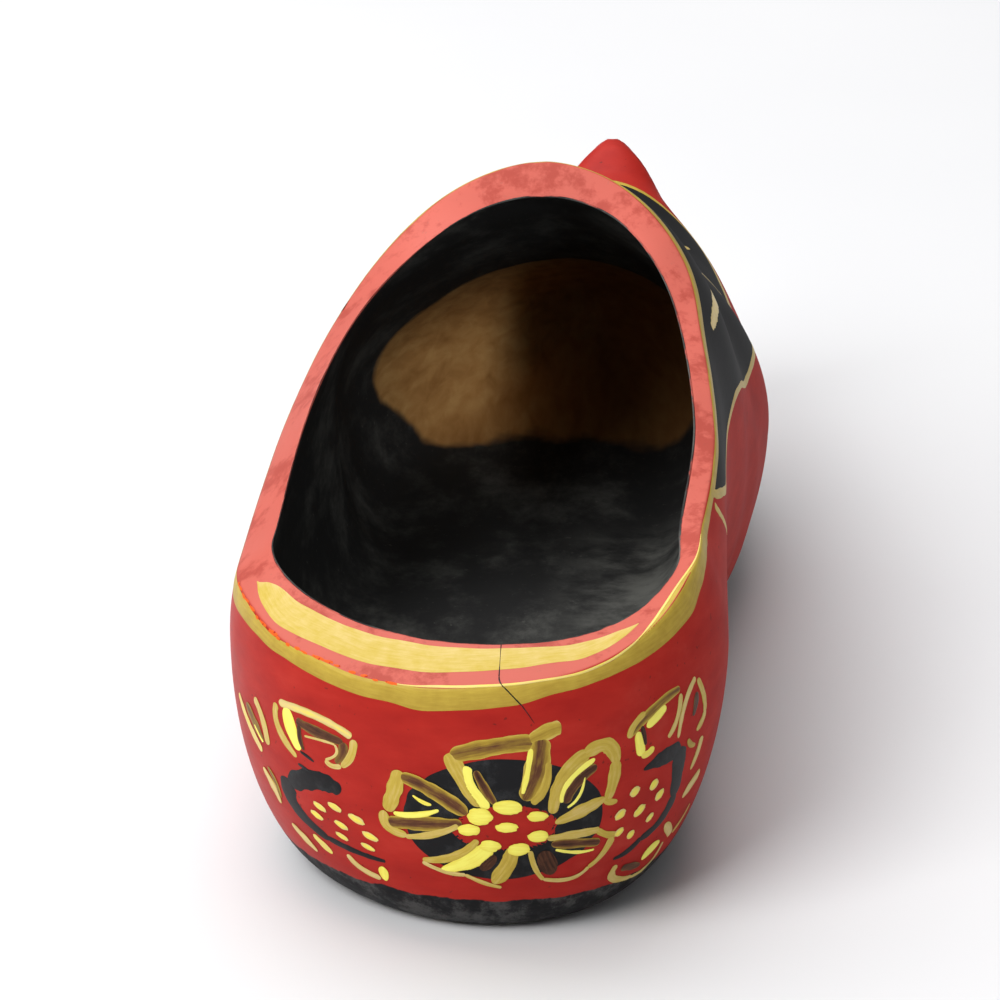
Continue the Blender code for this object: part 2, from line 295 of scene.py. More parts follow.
INNER_STROKES = (
    (38.9, 48.2, 32.6, 46.4, 26.3, 42.3, 1.5, 1.9, 1.6, 0.5, 0.2),
    (34.9, 46.0, 32.6, 44.5, 30.2, 43.1, 1.0, 2.1, 1.4, 0.9, 1.0),
    (30.0, 45.9, 27.4, 43.9, 26.5, 41.7, 1.3, 1.5, 1.4, 0.5, 0.55),
    (28.2, 42.6, 28.8, 40.0, 29.2, 37.8, 1.4, 2.2, 1.3, 0.85, 1.0),
    (29.2, 37.9, 30.8, 38.0, 32.0, 39.0, 1.3, 1.4, 1.1, 0.8, 0.85),
    (29.1, 43.5, 29.7, 41.4, 30.1, 39.7, 0.7, 1.0, 0.5, 0.05, 0.02),
    (39.0, 47.2, 37.9, 42.7, 35.6, 39.8, 1.0, 1.2, 1.0, 0.55, 0.6),
    (43.9, 48.7, 40.2, 44.9, 38.6, 38.8, 1.2, 1.3, 1.0, 0.55, 0.65),
    (44.6, 48.3, 47.0, 43.9, 47.6, 41.0, 1.3, 1.5, 1.3, 0.5, 0.55),
    (44.0, 46.0, 43.8, 43.7, 43.0, 41.7, 1.1, 1.7, 0.9, 0.15, 0.08),
    (47.6, 41.4, 46.9, 39.7, 44.7, 38.4, 1.5, 1.6, 1.0, 0.5, 0.55),
    (47.5, 36.3, 46.6, 33.4, 44.6, 30.6, 1.6, 2.0, 0.9, 0.5, 0.6),
    (41.9, 37.6, 43.0, 36.2, 44.9, 35.5, 0.8, 1.2, 0.8, 0.35, 0.4),
    (50.5, 28.0, 47.0, 26.8, 43.9, 25.1, 2.0, 2.6, 1.3, 0.5, 0.65),
    (39.6, 21.0, 42.6, 18.6, 44.2, 16.9, 1.6, 2.2, 1.5, 0.55, 0.65),
    (50.6, 21.2, 48.3, 18.8, 45.0, 17.1, 0.9, 1.3, 0.9, 0.45, 0.5),
    (27.7, 15.6, 28.0, 12.3, 34.7, 10.6, 1.5, 1.7, 1.3, 0.55, 0.6),
    (34.4, 10.6, 40.0, 11.6, 41.7, 16.3, 1.2, 1.3, 1.1, 0.55, 0.6),
    (40.0, 16.9, 37.0, 16.1, 35.4, 14.4, 1.8, 2.6, 1.6, 0.85, 1.0),
    (29.4, 14.3, 31.9, 14.0, 35.6, 13.1, 1.3, 1.8, 1.2, 0.15, 0.1),
)
INNER_DARK = (
    (30.0, 34.9, 35.0, 36.1, 39.8, 36.5, 0.5, 3.2, 3.0),
    (39.5, 36.8, 39.8, 32.6, 40.1, 26.6, 3.6, 3.8, 3.0),
    (40.2, 27.3, 37.4, 22.6, 32.2, 20.2, 3.0, 2.2, 1.7),
    (32.5, 20.4, 29.5, 18.2, 26.2, 17.3, 1.7, 1.4, 0.7),
)
INNER_DOTS = (
    (28.4, 31.0, 1.2, 0.9),
    (33.0, 31.3, 1.2, 0.9),
    (35.0, 28.7, 1.3, 0.9),
    (25.7, 27.0, 1.3, 0.9),
    (30.2, 26.8, 1.5, 0.9),
    (33.4, 24.5, 1.1, 0.7),
    (26.1, 23.3, 1.1, 0.8),
    (29.1, 22.0, 1.0, 0.8),
)

# Paint on the rim. Places are on the rim's chart: round from the back's middle, and up over the edge.
# A band's rows give the place round, the low edge and the high edge. Its tones are those of the two edges.
RIM_LINE_TONES = (0.37, 0.44)
# The edge band's tones are those of a painted highlight, paler than the line.
RIM_EDGE_HIGHLIGHT_TONES = (0.72, 0.78)
RIM_CRESCENT_TONES = (0.53, 0.57)
RIM_LINE = (
    (-205.0, -2.1, -0.1),
    (-150.0, -2.0, -0.1),
    (-100.0, -2.4, -0.3),
    (-75.0, -3.3, -0.5),
    (-58.0, -3.9, -0.5),
    (-46.0, -3.3, -0.7),
    (-38.0, -2.9, -0.1),
    (-28.0, -2.9, 0.7),
    (-17.5, -3.4, 0.4),
    (-10.0, -4.3, 0.4),
    (4.5, -3.9, 0.0),
    (15.0, -3.1, -0.5),
    (23.0, -3.4, -1.0),
    (28.0, -4.1, -0.6),
    (33.0, -4.6, 1.1),
    (40.0, -5.0, 1.9),
    (46.0, -5.5, 1.7),
    (52.0, -4.2, 1.0),
    (57.0, -3.3, 0.4),
    (66.0, -2.7, -0.1),
    (80.0, -2.4, -0.5),
    (93.0, -2.4, 0.0),
    (110.0, -2.6, 0.1),
    (130.0, -2.8, -0.2),
    (190.0, -2.4, -0.1),
)
# A painted highlight: a pale band along the rim's rounded outer edge, where the edge catches the light.
RIM_EDGE_HIGHLIGHT = (
    (-15.0, 0.3, 0.5),
    (-7.0, 0.2, 0.9),
    (4.0, -0.1, 0.6),
    (14.0, -0.6, 0.0),
    (23.0, -1.1, -0.5),
    (28.0, -0.8, -0.2),
    (33.0, 0.9, 1.5),
    (40.0, 1.7, 2.3),
    (46.0, 1.5, 2.0),
    (56.0, 0.3, 0.8),
    (66.0, -0.3, 0.0),
)
RIM_CRESCENT = (
    (-57.0, 3.2, 3.4),
    (-54.0, 2.5, 5.0),
    (-50.5, 2.0, 6.3),
    (-46.4, 1.7, 7.0),
    (-40.0, 2.2, 7.9),
    (-31.0, 3.3, 9.0),
    (-24.0, 3.7, 9.8),
    (-10.0, 3.9, 10.2),
    (0.0, 4.3, 10.0),
    (5.0, 4.4, 9.9),
    (13.0, 4.1, 8.6),
    (19.0, 3.2, 7.6),
    (26.0, 3.2, 6.1),
    (31.8, 3.7, 3.9),
)
CRACK = (
    (2.9, 11.2, 2.8, 7.0, 2.7, 2.6, 0.2, 0.16, 0.22),
    (2.7, 2.6, 2.9, 1.2, 3.5, -0.3, 0.22, 0.26, 0.2),
    (3.5, -0.3, 5.0, -2.2, 6.5, -4.1, 0.2, 0.26, 0.2),
    (6.5, -4.1, 7.4, -5.6, 8.5, -7.6, 0.18, 0.14, 0.08),
)
# A brown stain on the line: its place, half sizes and the tones of its edge and core.
RIM_STAIN_PLACE = (66.5, -1.8)
RIM_STAIN_HALF = (2.4, 1.1)
RIM_STAIN_TONES = (0.45, 0.22)
# Short strokes by the panel's start, laid on both sides alike.
SIDE_SPRIGS = (
    (81.0, -3.4, 85.3, -9.0, 93.0, -17.0, 1.5, 1.2, 0.8, 0.5, 0.5),
)
# Chips along the outer side's edge, down to orange undercoat: where they lie, how many, their half sizes,
# and how far they differ in length, width, place, height, tilt and outline.
CHIP_STRETCH = (-63.0, -15.0)
CHIP_COUNT = 19
CHIP_HALF = (1.3, 0.36)
CHIP_LIFT = 0.2
CHIP_LENGTHS = (0.75, 0.9)
CHIP_WIDTHS = (0.9, 0.6)
CHIP_SHIFT = 0.6
CHIP_SPREAD = 0.4
CHIP_TILT = 20.0
CHIP_WOBBLE = 0.5
CHIP_RATES = np.array((1.3, 2.1, 1.7))
CHIP_SEEDS = np.array((0.0, 40.0, 80.0))
CHIP_SEED = 6.5

# The vamp's black panel: its reach down from the rim, by the share of the way round from back to front.
PANEL = (
    (0.45, 1.8),
    (0.46, 3.3),
    (0.48, 5.5),
    (0.55, 13.0),
    (0.615, 18.5),
    (0.66, 21.5),
    (0.7, 25.5),
    (0.742, 35.7),
    (0.795, 54.0),
    (0.84, 71.0),
    (0.88, 85.0),
    (0.92, 100.0),
    (0.96, 114.0),
    (1.0, 119.0),
    (1.04, 114.0),
)
PANEL_BORDER_WIDTH = 1.5
PANEL_BORDER_TONE = 0.43
PANEL_BORDER_STEPS = 160
# The vamp's ornament, on a chart across from the ridge and along from heel to toe: the heel's flower again,
# and leaf strokes that are laid on both sides.
VAMP_START = 108.0
VAMP_END = 250.0
VAMP_HALF = 60.0
VAMP_FLOWER_PLACE = (0.0, 188.0)
VAMP_LEAVES = (
    (46.0, 116.0, 45.0, 134.0, 42.0, 158.0, 1.6, 3.4, 1.2, 0.6, 0.68),
    (4.0, 168.0, 12.0, 160.0, 24.0, 158.0, 1.0, 3.2, 1.0, 0.5, 0.6),
    (12.0, 160.0, 16.0, 154.0, 16.0, 148.0, 1.0, 2.6, 0.8, 0.5, 0.62),
    (20.0, 176.0, 30.0, 174.0, 38.0, 178.0, 1.0, 3.0, 1.0, 0.5, 0.6),
    (3.0, 208.0, 9.0, 216.0, 11.0, 226.0, 1.0, 3.2, 0.8, 0.5, 0.62),
    (10.0, 207.0, 19.0, 211.0, 24.0, 219.0, 0.9, 2.6, 0.8, 0.5, 0.55),
)

# Far enough from the panel's edge to be plainly in it or out of it, and how near the rim's edge it starts.
PANEL_CLEAR = 20.0
EDGE_LINE = -0.3

# How high the black band stands on the sole's edge, how far up the toe it follows that edge, and where bare
# wood starts inside, ahead of the clog's middle.
BAND_TOP = 7.2
BAND_CLIMB = 10.0
BARE_FROM = 66.0
BARE_SOFT = 5.0

# How strongly the paint mirrors, from none to a full varnish at 0.5.
SATIN = 0.12

# Colours
RED_DARK = (0.34, 0.012, 0.008, 1.0)
RED = (0.41, 0.018, 0.011, 1.0)
RED_LIGHT = (0.47, 0.03, 0.019, 1.0)
RED_RUBBED = (0.52, 0.075, 0.05, 1.0)
# Paler red of the rim: partly faded paint, partly a painted highlight where the rim faces up to the light.
RIM_FADE_AND_HIGHLIGHT = (0.6, 0.16, 0.12, 1.0)
RIM_STAIN = (0.3, 0.03, 0.02, 1.0)
TREAD_WORN = (0.16, 0.1, 0.06, 1.0)
CHIP = (0.72, 0.11, 0.015, 1.0)
DIRT = (0.05, 0.012, 0.01, 1.0)
BLACK = (0.008, 0.008, 0.009, 1.0)
BLACK_DUSTY = (0.035, 0.036, 0.038, 1.0)
BAND_WORN = (0.11, 0.108, 0.105, 1.0)
INSIDE_BLACK = (0.022, 0.022, 0.022, 1.0)
INSIDE_DUST = (0.115, 0.115, 0.105, 1.0)
INSIDE_GRIT = (0.2, 0.19, 0.17, 1.0)
WOOD_DARK = (0.36, 0.17, 0.05, 1.0)
WOOD = (0.5, 0.26, 0.085, 1.0)
WOOD_LIGHT = (0.62, 0.36, 0.13, 1.0)
# Painted shade: darker wood on the toe's inner half, standing in for the shadow there.
WOOD_PAINTED_SHADE = (0.12, 0.05, 0.015, 1.0)
GOLD_STOPS = (
    (0.0, (0.03, 0.012, 0.008, 1.0)),
    (0.14, (0.12, 0.045, 0.02, 1.0)),
    (0.32, (0.36, 0.235, 0.03, 1.0)),
    (0.5, (0.54, 0.39, 0.06, 1.0)),
    (0.68, (0.7, 0.54, 0.23, 1.0)),
    (0.85, (0.85, 0.72, 0.09, 1.0)),
    (1.0, (0.95, 0.88, 0.16, 1.0)),
)

# Colour runs of red paint and bare wood, and how far streaks and pools change the tone of gold.
RED_STOPS = ((0.3, RED_DARK), (0.55, RED), (0.8, RED_LIGHT))
WOOD_STOPS = ((0.25, WOOD_DARK), (0.5, WOOD), (0.75, WOOD_LIGHT))
GOLD_STREAKS = (("gold_strokes", 0.34), ("gold_line", 0.2))
POOL_AMOUNT = 0.16

# Noise in the paint: its stretch, its size in millimetres, its detail, roughness and distortion.
EVEN = (1.0, 1.0, 1.0)
TEXTURES = {
    "mottle": ((0.4, 0.4, 1.0), 5.0, 6.0, 0.6, 0.0),
    "rubbed": (EVEN, 22.0, 5.0, 0.65, 0.0),
    "specks": (EVEN, 1.1, 1.0, 0.55, 0.0),
    "brush_marks": ((0.25, 0.25, 1.0), 1.6, 4.0, 0.55, 0.0),
    "fine_grain": ((1.0, 0.06, 1.0), 1.2, 3.0, 0.55, 0.0),
    "sheen": (EVEN, 9.0, 3.0, 0.55, 0.0),
    "chip_red": (EVEN, 0.9, 3.0, 0.55, 0.0),
    "chip_sheen": (EVEN, 1.5, 3.0, 0.55, 0.0),
    "chip_grain": (EVEN, 0.5, 3.0, 0.55, 0.0),
    "stroke_dust": (EVEN, 5.0, 5.0, 0.7, 0.0),
    "stroke_grain": (EVEN, 0.8, 4.0, 0.55, 0.0),
    "streaks": ((0.22, 2.2, 1.0), 1.0, 4.0, 0.6, 0.0),
    "pools": (EVEN, 2.4, 3.0, 0.55, 0.0),
    "ragged": (EVEN, 6.0, 4.0, 0.55, 0.0),
    "rim_stain": (EVEN, 9.0, 5.0, 0.7, 0.0),
    "panel_dust": (EVEN, 8.0, 7.0, 0.72, 0.0),
    "band_wear": (EVEN, 6.0, 7.0, 0.75, 0.0),
    "tread_wear": (EVEN, 12.0, 5.0, 0.7, 0.0),
    "scuffs": ((1.0, 0.6, 1.0), 17.0, 9.0, 0.7, 0.0),
    "heel_dust": (EVEN, 14.0, 8.0, 0.65, 0.0),
    "grit": (EVEN, 1.5, 4.0, 0.7, 0.0),
    "wood_grain": ((1.0, 0.15, 1.0), 3.5, 4.0, 0.5, 0.4),
    "bare_edge": (EVEN, 30.0, 4.0, 0.55, 0.0),
}
# Patches of that noise: where one starts, where it is full, and how strong it is there.
PATCHES = {
    "rubbed": (0.58, 0.75, 0.25),
    "specks": (0.72, 0.77, 0.55),
    "chip_red": (0.55, 0.7, 1.0),
    "stroke_dust": (0.45, 0.75, 1.0),
    "rim_stain": (0.48, 0.62, 0.55),
    "panel_dust": (0.48, 0.82, 1.0),
    "band_wear": (0.45, 0.64, 0.6),
    "tread_wear": (0.42, 0.6, 0.7),
    "scuffs": (0.44, 0.8, 1.0),
    "heel_dust": (0.32, 0.66, 1.0),
    "grit": (0.62, 0.75, 0.3),
}
# Surfaces of the shell: the measure that tells one, how ragged its edge is, and where it starts and is full.
SURFACES = {
    "inside": ("into_hollow", 1.6, -0.1, 0.25),
    "band": ("above_sole", 2.2, BAND_TOP + 0.3, BAND_TOP),
    "panel": ("panel", 1.0, -0.15, 0.15),
}
RIM_EDGE = (-0.5, 0.5)

# Spans in millimetres over which wear, dust, the painted shade on the wood and bare wood set in, and shares
# of a colour.
TREAD_HEIGHTS = (1.2, 0.3)
HEEL_DUST_ACROSS = (2.0, 20.0)
HEEL_DUST_ALONG = (36.0, 4.0)
WOOD_SHADE_ACROSS = (-12.0, 16.0)
BARE_LOW_HEIGHTS = (30.0, 16.0)
BARE_FLOOR_HEIGHTS = (34.0, 18.0)
BARE_FLOOR_BACK = 16.0
BARE_RAGGED = 26.0
INNER_SIDE_ACROSS = (0.0, 40.0)
RIM_FADE_AND_HIGHLIGHT_SHARE = 0.7
WOOD_SHADE_SHARE = 0.75
FINE_GRAIN_SHARE = 0.6

# Roughness, between two limits where it varies, and relief as strength and depth in millimetres.
RED_ROUGH = (0.3, 0.46)
CHIP_ROUGH = (0.5, 0.8)
BLACK_ROUGH = (0.34, 0.55)
GOLD_ROUGH = (0.3, 0.5)
SHELL_ROUGH = (0.36, 0.54)
PANEL_ROUGH = (0.66, 0.85)
INSIDE_ROUGH = (0.85, 0.97)
INNER_SIDE_ROUGH = 0.68
BAND_ROUGH = 0.6
RED_RELIEF = (0.25, 0.12)
CHIP_RELIEF = (0.4, 0.1)
BLACK_RELIEF = (0.2, 0.08)
GOLD_RELIEF = (0.45, 0.12)
SHELL_RELIEF = (0.3, 0.15)

# Stage and light, in metres and watts: each soft light's name, place, aim, size and power.
FLOOR_TONES = ((222, 222, 224), (228, 228, 229))
FLOOR_MOTTLE = 6.0
FLOOR_ROUGH = 0.7
FLOOR_HALF = 6.0
SKY_STOPS = (
    (0.0, (0.3, 0.3, 0.3, 1.0)),
    (0.35, (0.36, 0.36, 0.36, 1.0)),
    (0.75, (1.0, 1.0, 1.0, 1.0)),
)
SKY_DARK_SIDE = (0.2, 0.2, 0.2, 1.0)
SKY_DARK_SPAN = (0.0, 0.7)
WORLD_STRENGTH = 0.47
LIGHTS = (
    ("window", (-0.75, -0.85, 1.05), (0.0, 0.0, 0.0), 0.9, 18.5),
    ("ceiling", (-0.4, 0.8, 1.55), (-0.1, 0.7, 0.0), 1.8, 28.0),
)
# A narrow lamp that shines past the collar on the bare wood in the toe, its angle in degrees.
LAMP_PLACE = (0.34, -1.0, 0.5)
LAMP_TARGET = (-0.018, 0.037, 0.055)
LAMP_POWER = 22.0
LAMP_ANGLE = 9.0
LAMP_SIZE = 0.065
LAMP_BLEND = 1.0
# The camera, its sensor and lens in millimetres.
SENSOR_WIDTH = 36.0
LENS = 160.0
CAMERA_PLACE = (0.042, -0.813, 0.3556)
CAMERA_TARGET = (-0.0027, -0.035, 0.045)


def read_table(rows, column, along):
    """A column's values on a smooth curve through the rows, flat at the first and without overshoot."""
    places = np.array([row[0] for row in rows])
    values = np.array([row[column] for row in rows])
    runs = np.diff(values) / np.diff(places)
    before = np.concatenate([[0.0], runs])
    after = np.concatenate([runs, runs[-1:]])
    same_way = before * after > 0
    slopes = np.where(same_way, 2 * before * after / np.where(same_way, before + after, 1.0), 0.0)
    along = np.clip(along, places[0], places[-1])
    step = np.clip(np.searchsorted(places, along, side="right") - 1, 0, len(rows) - 2)
    length = places[step + 1] - places[step]
    t = (along - places[step]) / length
    u = 1 - t
    start = values[step] * (1 + 2 * t) + slopes[step] * length * t
    end = values[step + 1] * (1 + 2 * u) - slopes[step + 1] * length * u
    return start * u * u + end * t * t


def read_row(rows, columns, along):
    return {name: read_table(rows, index, along) for index, name in enumerate(columns) if index}


def block_section(along):
    section = read_row(BLOCK, BLOCK_COLUMNS, along)
    section["reach"] = HEEL_REACH
    section["tread_reach"] = HEEL_TREAD_REACH
    return section


def hollow_section(along):
    """The block's section drawn in by the wall, and closed in a round at the toe."""
    block = block_section(along)
    wall = read_row(WALL, WALL_COLUMNS, along)
    closing = np.maximum(0.0, (along - HOLLOW_ROUNDS_FROM) / (HOLLOW_END - HOLLOW_ROUNDS_FROM))
    share = np.sqrt(np.maximum(0.0, 1 - closing * closing))
    space = block["top"] - wall["roof"] - wall["floor"]
    centre = wall["floor"] + HOLLOW_END_SHARE * space
    floor = centre + (wall["floor"] - centre) * share
    half = (block["half"] - wall["side"]) * share
    reach = HEEL_REACH - HOLLOW_BACK_WALL
    return {
        "middle": block["middle"],
        "half": half,
        "ridge": block["middle"] + (block["ridge"] - block["middle"]) * share,
        "belly": floor + HOLLOW_BELLY_SHARE * space * share,
        "tread": half * HOLLOW_FLOOR_SHARE,
        "sole": floor,
        "top": floor + space * share,
        "dome": block["dome"] + HOLLOW_DOME_EXTRA,
        "under": HOLLOW_UNDER,
        "reach": reach,
        "tread_reach": reach * HOLLOW_FLOOR_SHARE,
    }


def surface(section, side, along, turn, climb):
    """Points on sections: climb runs from 1 at the ridge through 0 at the belly to -1 at the sole's edge."""
    angle = np.abs(climb) * math.pi / 2
    is_up = climb >= 0
    power = np.where(is_up, 2 / section["dome"], 2 / section["under"])
    shrink = np.clip(np.cos(angle), 0, 1) ** power
    rise = np.sin(angle) ** power
    narrow = np.where(is_up, 0.0, section["tread"])
    narrow_reach = np.where(is_up, 0.0, section["tread_reach"])
    out = narrow + (section["half"] - narrow) * shrink
    behind = narrow_reach + (section["reach"] - narrow_reach) * shrink
    far_end = np.where(is_up, section["top"], section["sole"])
    height = section["belly"] + rise * (far_end - section["belly"])
    middle = section["middle"] + np.where(is_up, (section["ridge"] - section["middle"]) * rise, 0.0)
    across = middle + HEEL_LEAN * np.sin(turn) ** 2 + side * out * np.cos(turn)
    return np.stack(np.broadcast_arrays(across, along - behind * np.sin(turn), height), axis=-1)


def collar_height(edge, across, along):
    """Height of the collar's cut; its outer edge is a little lower on the clog's outer side."""
    lean = COLLAR_LEAN if edge == "outside" else 0.0
    return read_table(COLLAR, COLLAR_COLUMNS.index(edge), along) + lean * across


def halve(low, high, is_past):
    """The places between low and high from which is_past holds."""
    for _ in range(HALVINGS):
        middle = (low + high) / 2
        past = is_past(middle)
        high = np.where(past, middle, high)
        low = np.where(past, low, middle)
    return low


def climb_to_collar(section, edge, side, along, turn):
    def is_above(climb):
        point = surface(section, side, along, turn, climb)
        return point[..., 2] > collar_height(edge, point[..., 0], point[..., 1])

    return halve(np.full_like(along, -1.0), np.full_like(along, 1.0), is_above)


def collar_front(section_at, edge):
    def is_past(along):
        section = section_at(along)
        return collar_height(edge, section["ridge"], along) > section["top"]

    low, high = COLLAR_FRONT_RANGE
    return float(halve(np.array(low), np.array(high), is_past))


def columns_of(section):
    return {name: value[:, None] if np.ndim(value) else value for name, value in section.items()}


def lengths_along(points):
    steps = np.linalg.norm(np.diff(points, axis=0), axis=1)
    return np.concatenate([[0.0], np.cumsum(steps)])


def resample(points, measure, at):
    return np.stack([np.interp(at, measure, points[:, axis]) for axis in range(points.shape[1])], axis=-1)


def unit(vectors):
    return vectors / np.maximum(np.linalg.norm(vectors, axis=-1, keepdims=True), TINY)


def round_the_heel(turns, stations):
    """Turns about the heel's axis and places along, from the back's middle round the heel to the stations."""
    turn = np.concatenate([np.linspace(math.pi / 2, 0, turns, endpoint=False), np.zeros(len(stations))])
    return turn, np.concatenate([np.full(turns, HEEL_AXIS), stations])


def straight_paths(section_at, edge, side, patch_start):
    """Paths down the sections of the heel's round and of the waist."""
    turn, along = round_the_heel(HEEL_PATHS, np.linspace(HEEL_AXIS, patch_start, WAIST_PATHS + 1))
    section = section_at(along)
    start = climb_to_collar(section, edge, side, along, turn)[:, None]
    climb = start + (-1 - start) * np.linspace(0, 1, DENSE_STEPS)
    return surface(columns_of(section), side, along[:, None], turn[:, None], climb)


def front_paths(section_at, edge, end, side, patch_start, front):
    """Paths that fan out from the collar's front over the toe, between four border lines of the surface."""
    def girths(along):
        section = section_at(along)
        up = GIRTH_SHARE * (section["half"] + section["top"] - section["belly"])
        down = GIRTH_SHARE * (section["half"] - section["tread"] + section["belly"] - section["sole"])
        return up, down

    def unrolled(along, climb):
        up, down = girths(along)
        return np.stack([along, climb * np.where(climb >= 0, up, down)], axis=-1)

    def border(along, climb, at, sides=(side,)):
        measure = sum(lengths_along(surface(section_at(along), each, along, 0.0, climb)) for each in sides)
        return resample(unrolled(along, climb), measure / measure[-1], at)

    share = np.linspace(0, 1, DENSE_STEPS)
    # Paths crowd towards the ridge, and the last one before it keeps clear of it.
    to_ridge = np.linspace(1, 0, FRONT_PATHS + 1)[1:]
    to_ridge = np.where(to_ridge > 0, to_ridge + (1 - to_ridge) / FRONT_PATHS, 0.0)
    u = 1 - to_ridge ** FRONT_CROWDING
    rim_along = front - (front - patch_start) * (1 - share) ** 2
    rim_climb = climb_to_collar(section_at(rim_along), edge, side, rim_along, 0.0)
    first = np.full(DENSE_STEPS, patch_start)
    ridge_along = front + (end - front) * share
    sole_along = patch_start + (end - patch_start) * share
    top = border(rim_along, rim_climb, u)[:, None]
    bottom = border(sole_along, np.full(DENSE_STEPS, -1.0), u, SIDES)[:, None]
    left = border(first, rim_climb[0] + (-1 - rim_climb[0]) * share, share)[None]
    right = border(ridge_along, np.full(DENSE_STEPS, 1.0), share)[None]
    u, t = u[:, None, None], share[None, :, None]
    corner = unrolled(np.array([patch_start, patch_start]), np.array([rim_climb[0], -1.0]))
    apex, tip = right[0, 0], right[0, -1]
    flat = (1 - t) * top + t * bottom + (1 - u) * left + u * right
    flat = flat - ((1 - u) * (1 - t) * corner[0] + u * (1 - t) * apex + (1 - u) * t * corner[1] + u * t * tip)
    along = np.clip(flat[..., 0], patch_start, end)
    up, down = girths(along)
    climb = np.clip(flat[..., 1] / np.maximum(np.where(flat[..., 1] >= 0, up, down), LEAST_GIRTH), -1, 1)
    return surface(section_at(along), side, along, 0.0, climb)


def paths(section_at, edge, end, side):
    """Paths from the rim down to the sole's edge, from the back round one side to the toe's ridge."""
    front = collar_front(section_at, edge)
    patch_start = HEEL_AXIS + PATCH_SHARE * (front - HEEL_AXIS)
    straight = straight_paths(section_at, edge, side, patch_start)
    return np.concatenate([straight, front_paths(section_at, edge, end, side, patch_start, front)])


def rounded_corner(start, corner, end):
    """Points of a soft edge that leaves start towards the corner and comes to end."""
    t = np.linspace(0, 1, ROUND_STEPS + 2)[1:-1, None]
    return start * (1 - t) ** 2 + corner * 2 * t * (1 - t) + end * t * t


def to_middle(edge_point):
    """Points from an edge of the sole or floor in to the clog's middle line."""
    along = max(edge_point[1], HEEL_AXIS)
    middle = np.array((float(block_section(np.array(along))["middle"]), along, edge_point[2]))
    share = np.linspace(0, 1, UNDER_STEPS + 1)[1:, None]
    return edge_point + (middle - edge_point) * share


def profile(outer, inner):
    """One cut through the wall, from the middle of the sole over the rim to the middle of the floor inside.

    With each point go its distances down from the rim's outer and inner edges, and its height over the sole.
    """
    out_measure, in_measure = lengths_along(outer), lengths_along(inner)
    width = np.linalg.norm(inner[0] - outer[0])
    out_round = min(OUTER_EDGE_ROUND, OUTER_ROUND_SHARE * width)
    in_round = min(INNER_EDGE_ROUND, INNER_ROUND_SHARE * width)
    across = (inner[0] - outer[0]) / width
    out_at = np.linspace(out_round, out_measure[-1], OUTSIDE_STEPS)
    in_at = np.linspace(in_round, in_measure[-1], INSIDE_STEPS)
    rim_at = np.linspace(out_round, width - in_round, RIM_STEPS)
    outside, inside = resample(outer, out_measure, out_at), resample(inner, in_measure, in_at)
    rim = outer[0] + across * rim_at[:, None]
    under, floor = to_middle(outside[-1]), to_middle(inside[-1])
    soft = np.linspace(-1, 1, ROUND_STEPS + 2)[1:-1]
    points = np.concatenate([
        under[::-1], outside[::-1], rounded_corner(outside[0], outer[0], rim[0]), rim,
        rounded_corner(rim[-1], inner[0], inside[0]), inside, floor,
    ])
    below = np.concatenate([
        np.full(UNDER_STEPS, out_at[-1]), out_at[::-1], -soft * out_round, -rim_at,
        -(width + soft * in_round), -(width + in_at), np.full(UNDER_STEPS, -(width + in_at[-1])),
    ])
    above_sole = points[:, 2] - min(outside[-1][2], BAND_CLIMB)
    return points, below, -below - width, above_sole


def ring_of_profiles():
    """Profiles right round the clog: along the inner side to the toe, and back along the outer side."""
    halves = {}
    for side in SIDES:
        outer = paths(block_section, "outside", TOE_END, side)
        inner = paths(hollow_section, "inside", HOLLOW_END, side)
        halves[side] = [profile(a, b) for a, b in zip(outer, inner)]
    ring = halves[INNER_SIDE] + halves[OUTER_SIDE][-2:0:-1]
    return [np.array(part) for part in zip(*ring)]


def unsteady(places, seed):
    """Smooth unsteady values from -1 to 1 along a line."""
    return np.array([noise.noise(Vector((value, seed, NOISE_LEVEL))) for value in np.ravel(places)])


def knife_waves(points):
    """How far the knife left the wood hollow at each point, from nothing to KNIFE_DEPTH."""
    values = np.array([noise.noise(Vector(point) / KNIFE_WAVE) for point in points.reshape(-1, 3)])
    return KNIFE_DEPTH * (0.5 + 0.5 * np.clip(values * KNIFE_CONTRAST, -1, 1)).reshape(points.shape[:-1])


class Chart:
    """A stretch of the clog's surface with two measures of its own, in millimetres, for laying paint on."""

    def __init__(self, first, second, points):
        self.first, self.second = first, second
        self.normals = unit(np.cross(np.gradient(points, axis=0), np.gradient(points, axis=1)))
        self.points = points - self.normals * (PAINT_ROOM + knife_waves(points))[..., None]

    def at(self, first, second, lift):
        """Points lifted off the surface at places on the chart."""
        i = np.interp(first, self.first, np.arange(len(self.first)))
        k = np.interp(second, self.second, np.arange(len(self.second)))
        i0 = np.minimum(i.astype(int), len(self.first) - 2)
        k0 = np.minimum(k.astype(int), len(self.second) - 2)
        a, b = (i - i0)[..., None], (k - k0)[..., None]

        def between(grid):
            low = grid[i0, k0] * (1 - b) + grid[i0, k0 + 1] * b
            high = grid[i0 + 1, k0] * (1 - b) + grid[i0 + 1, k0 + 1] * b
            return low * (1 - a) + high * a

        return between(self.points) + between(self.normals) * lift[..., None]


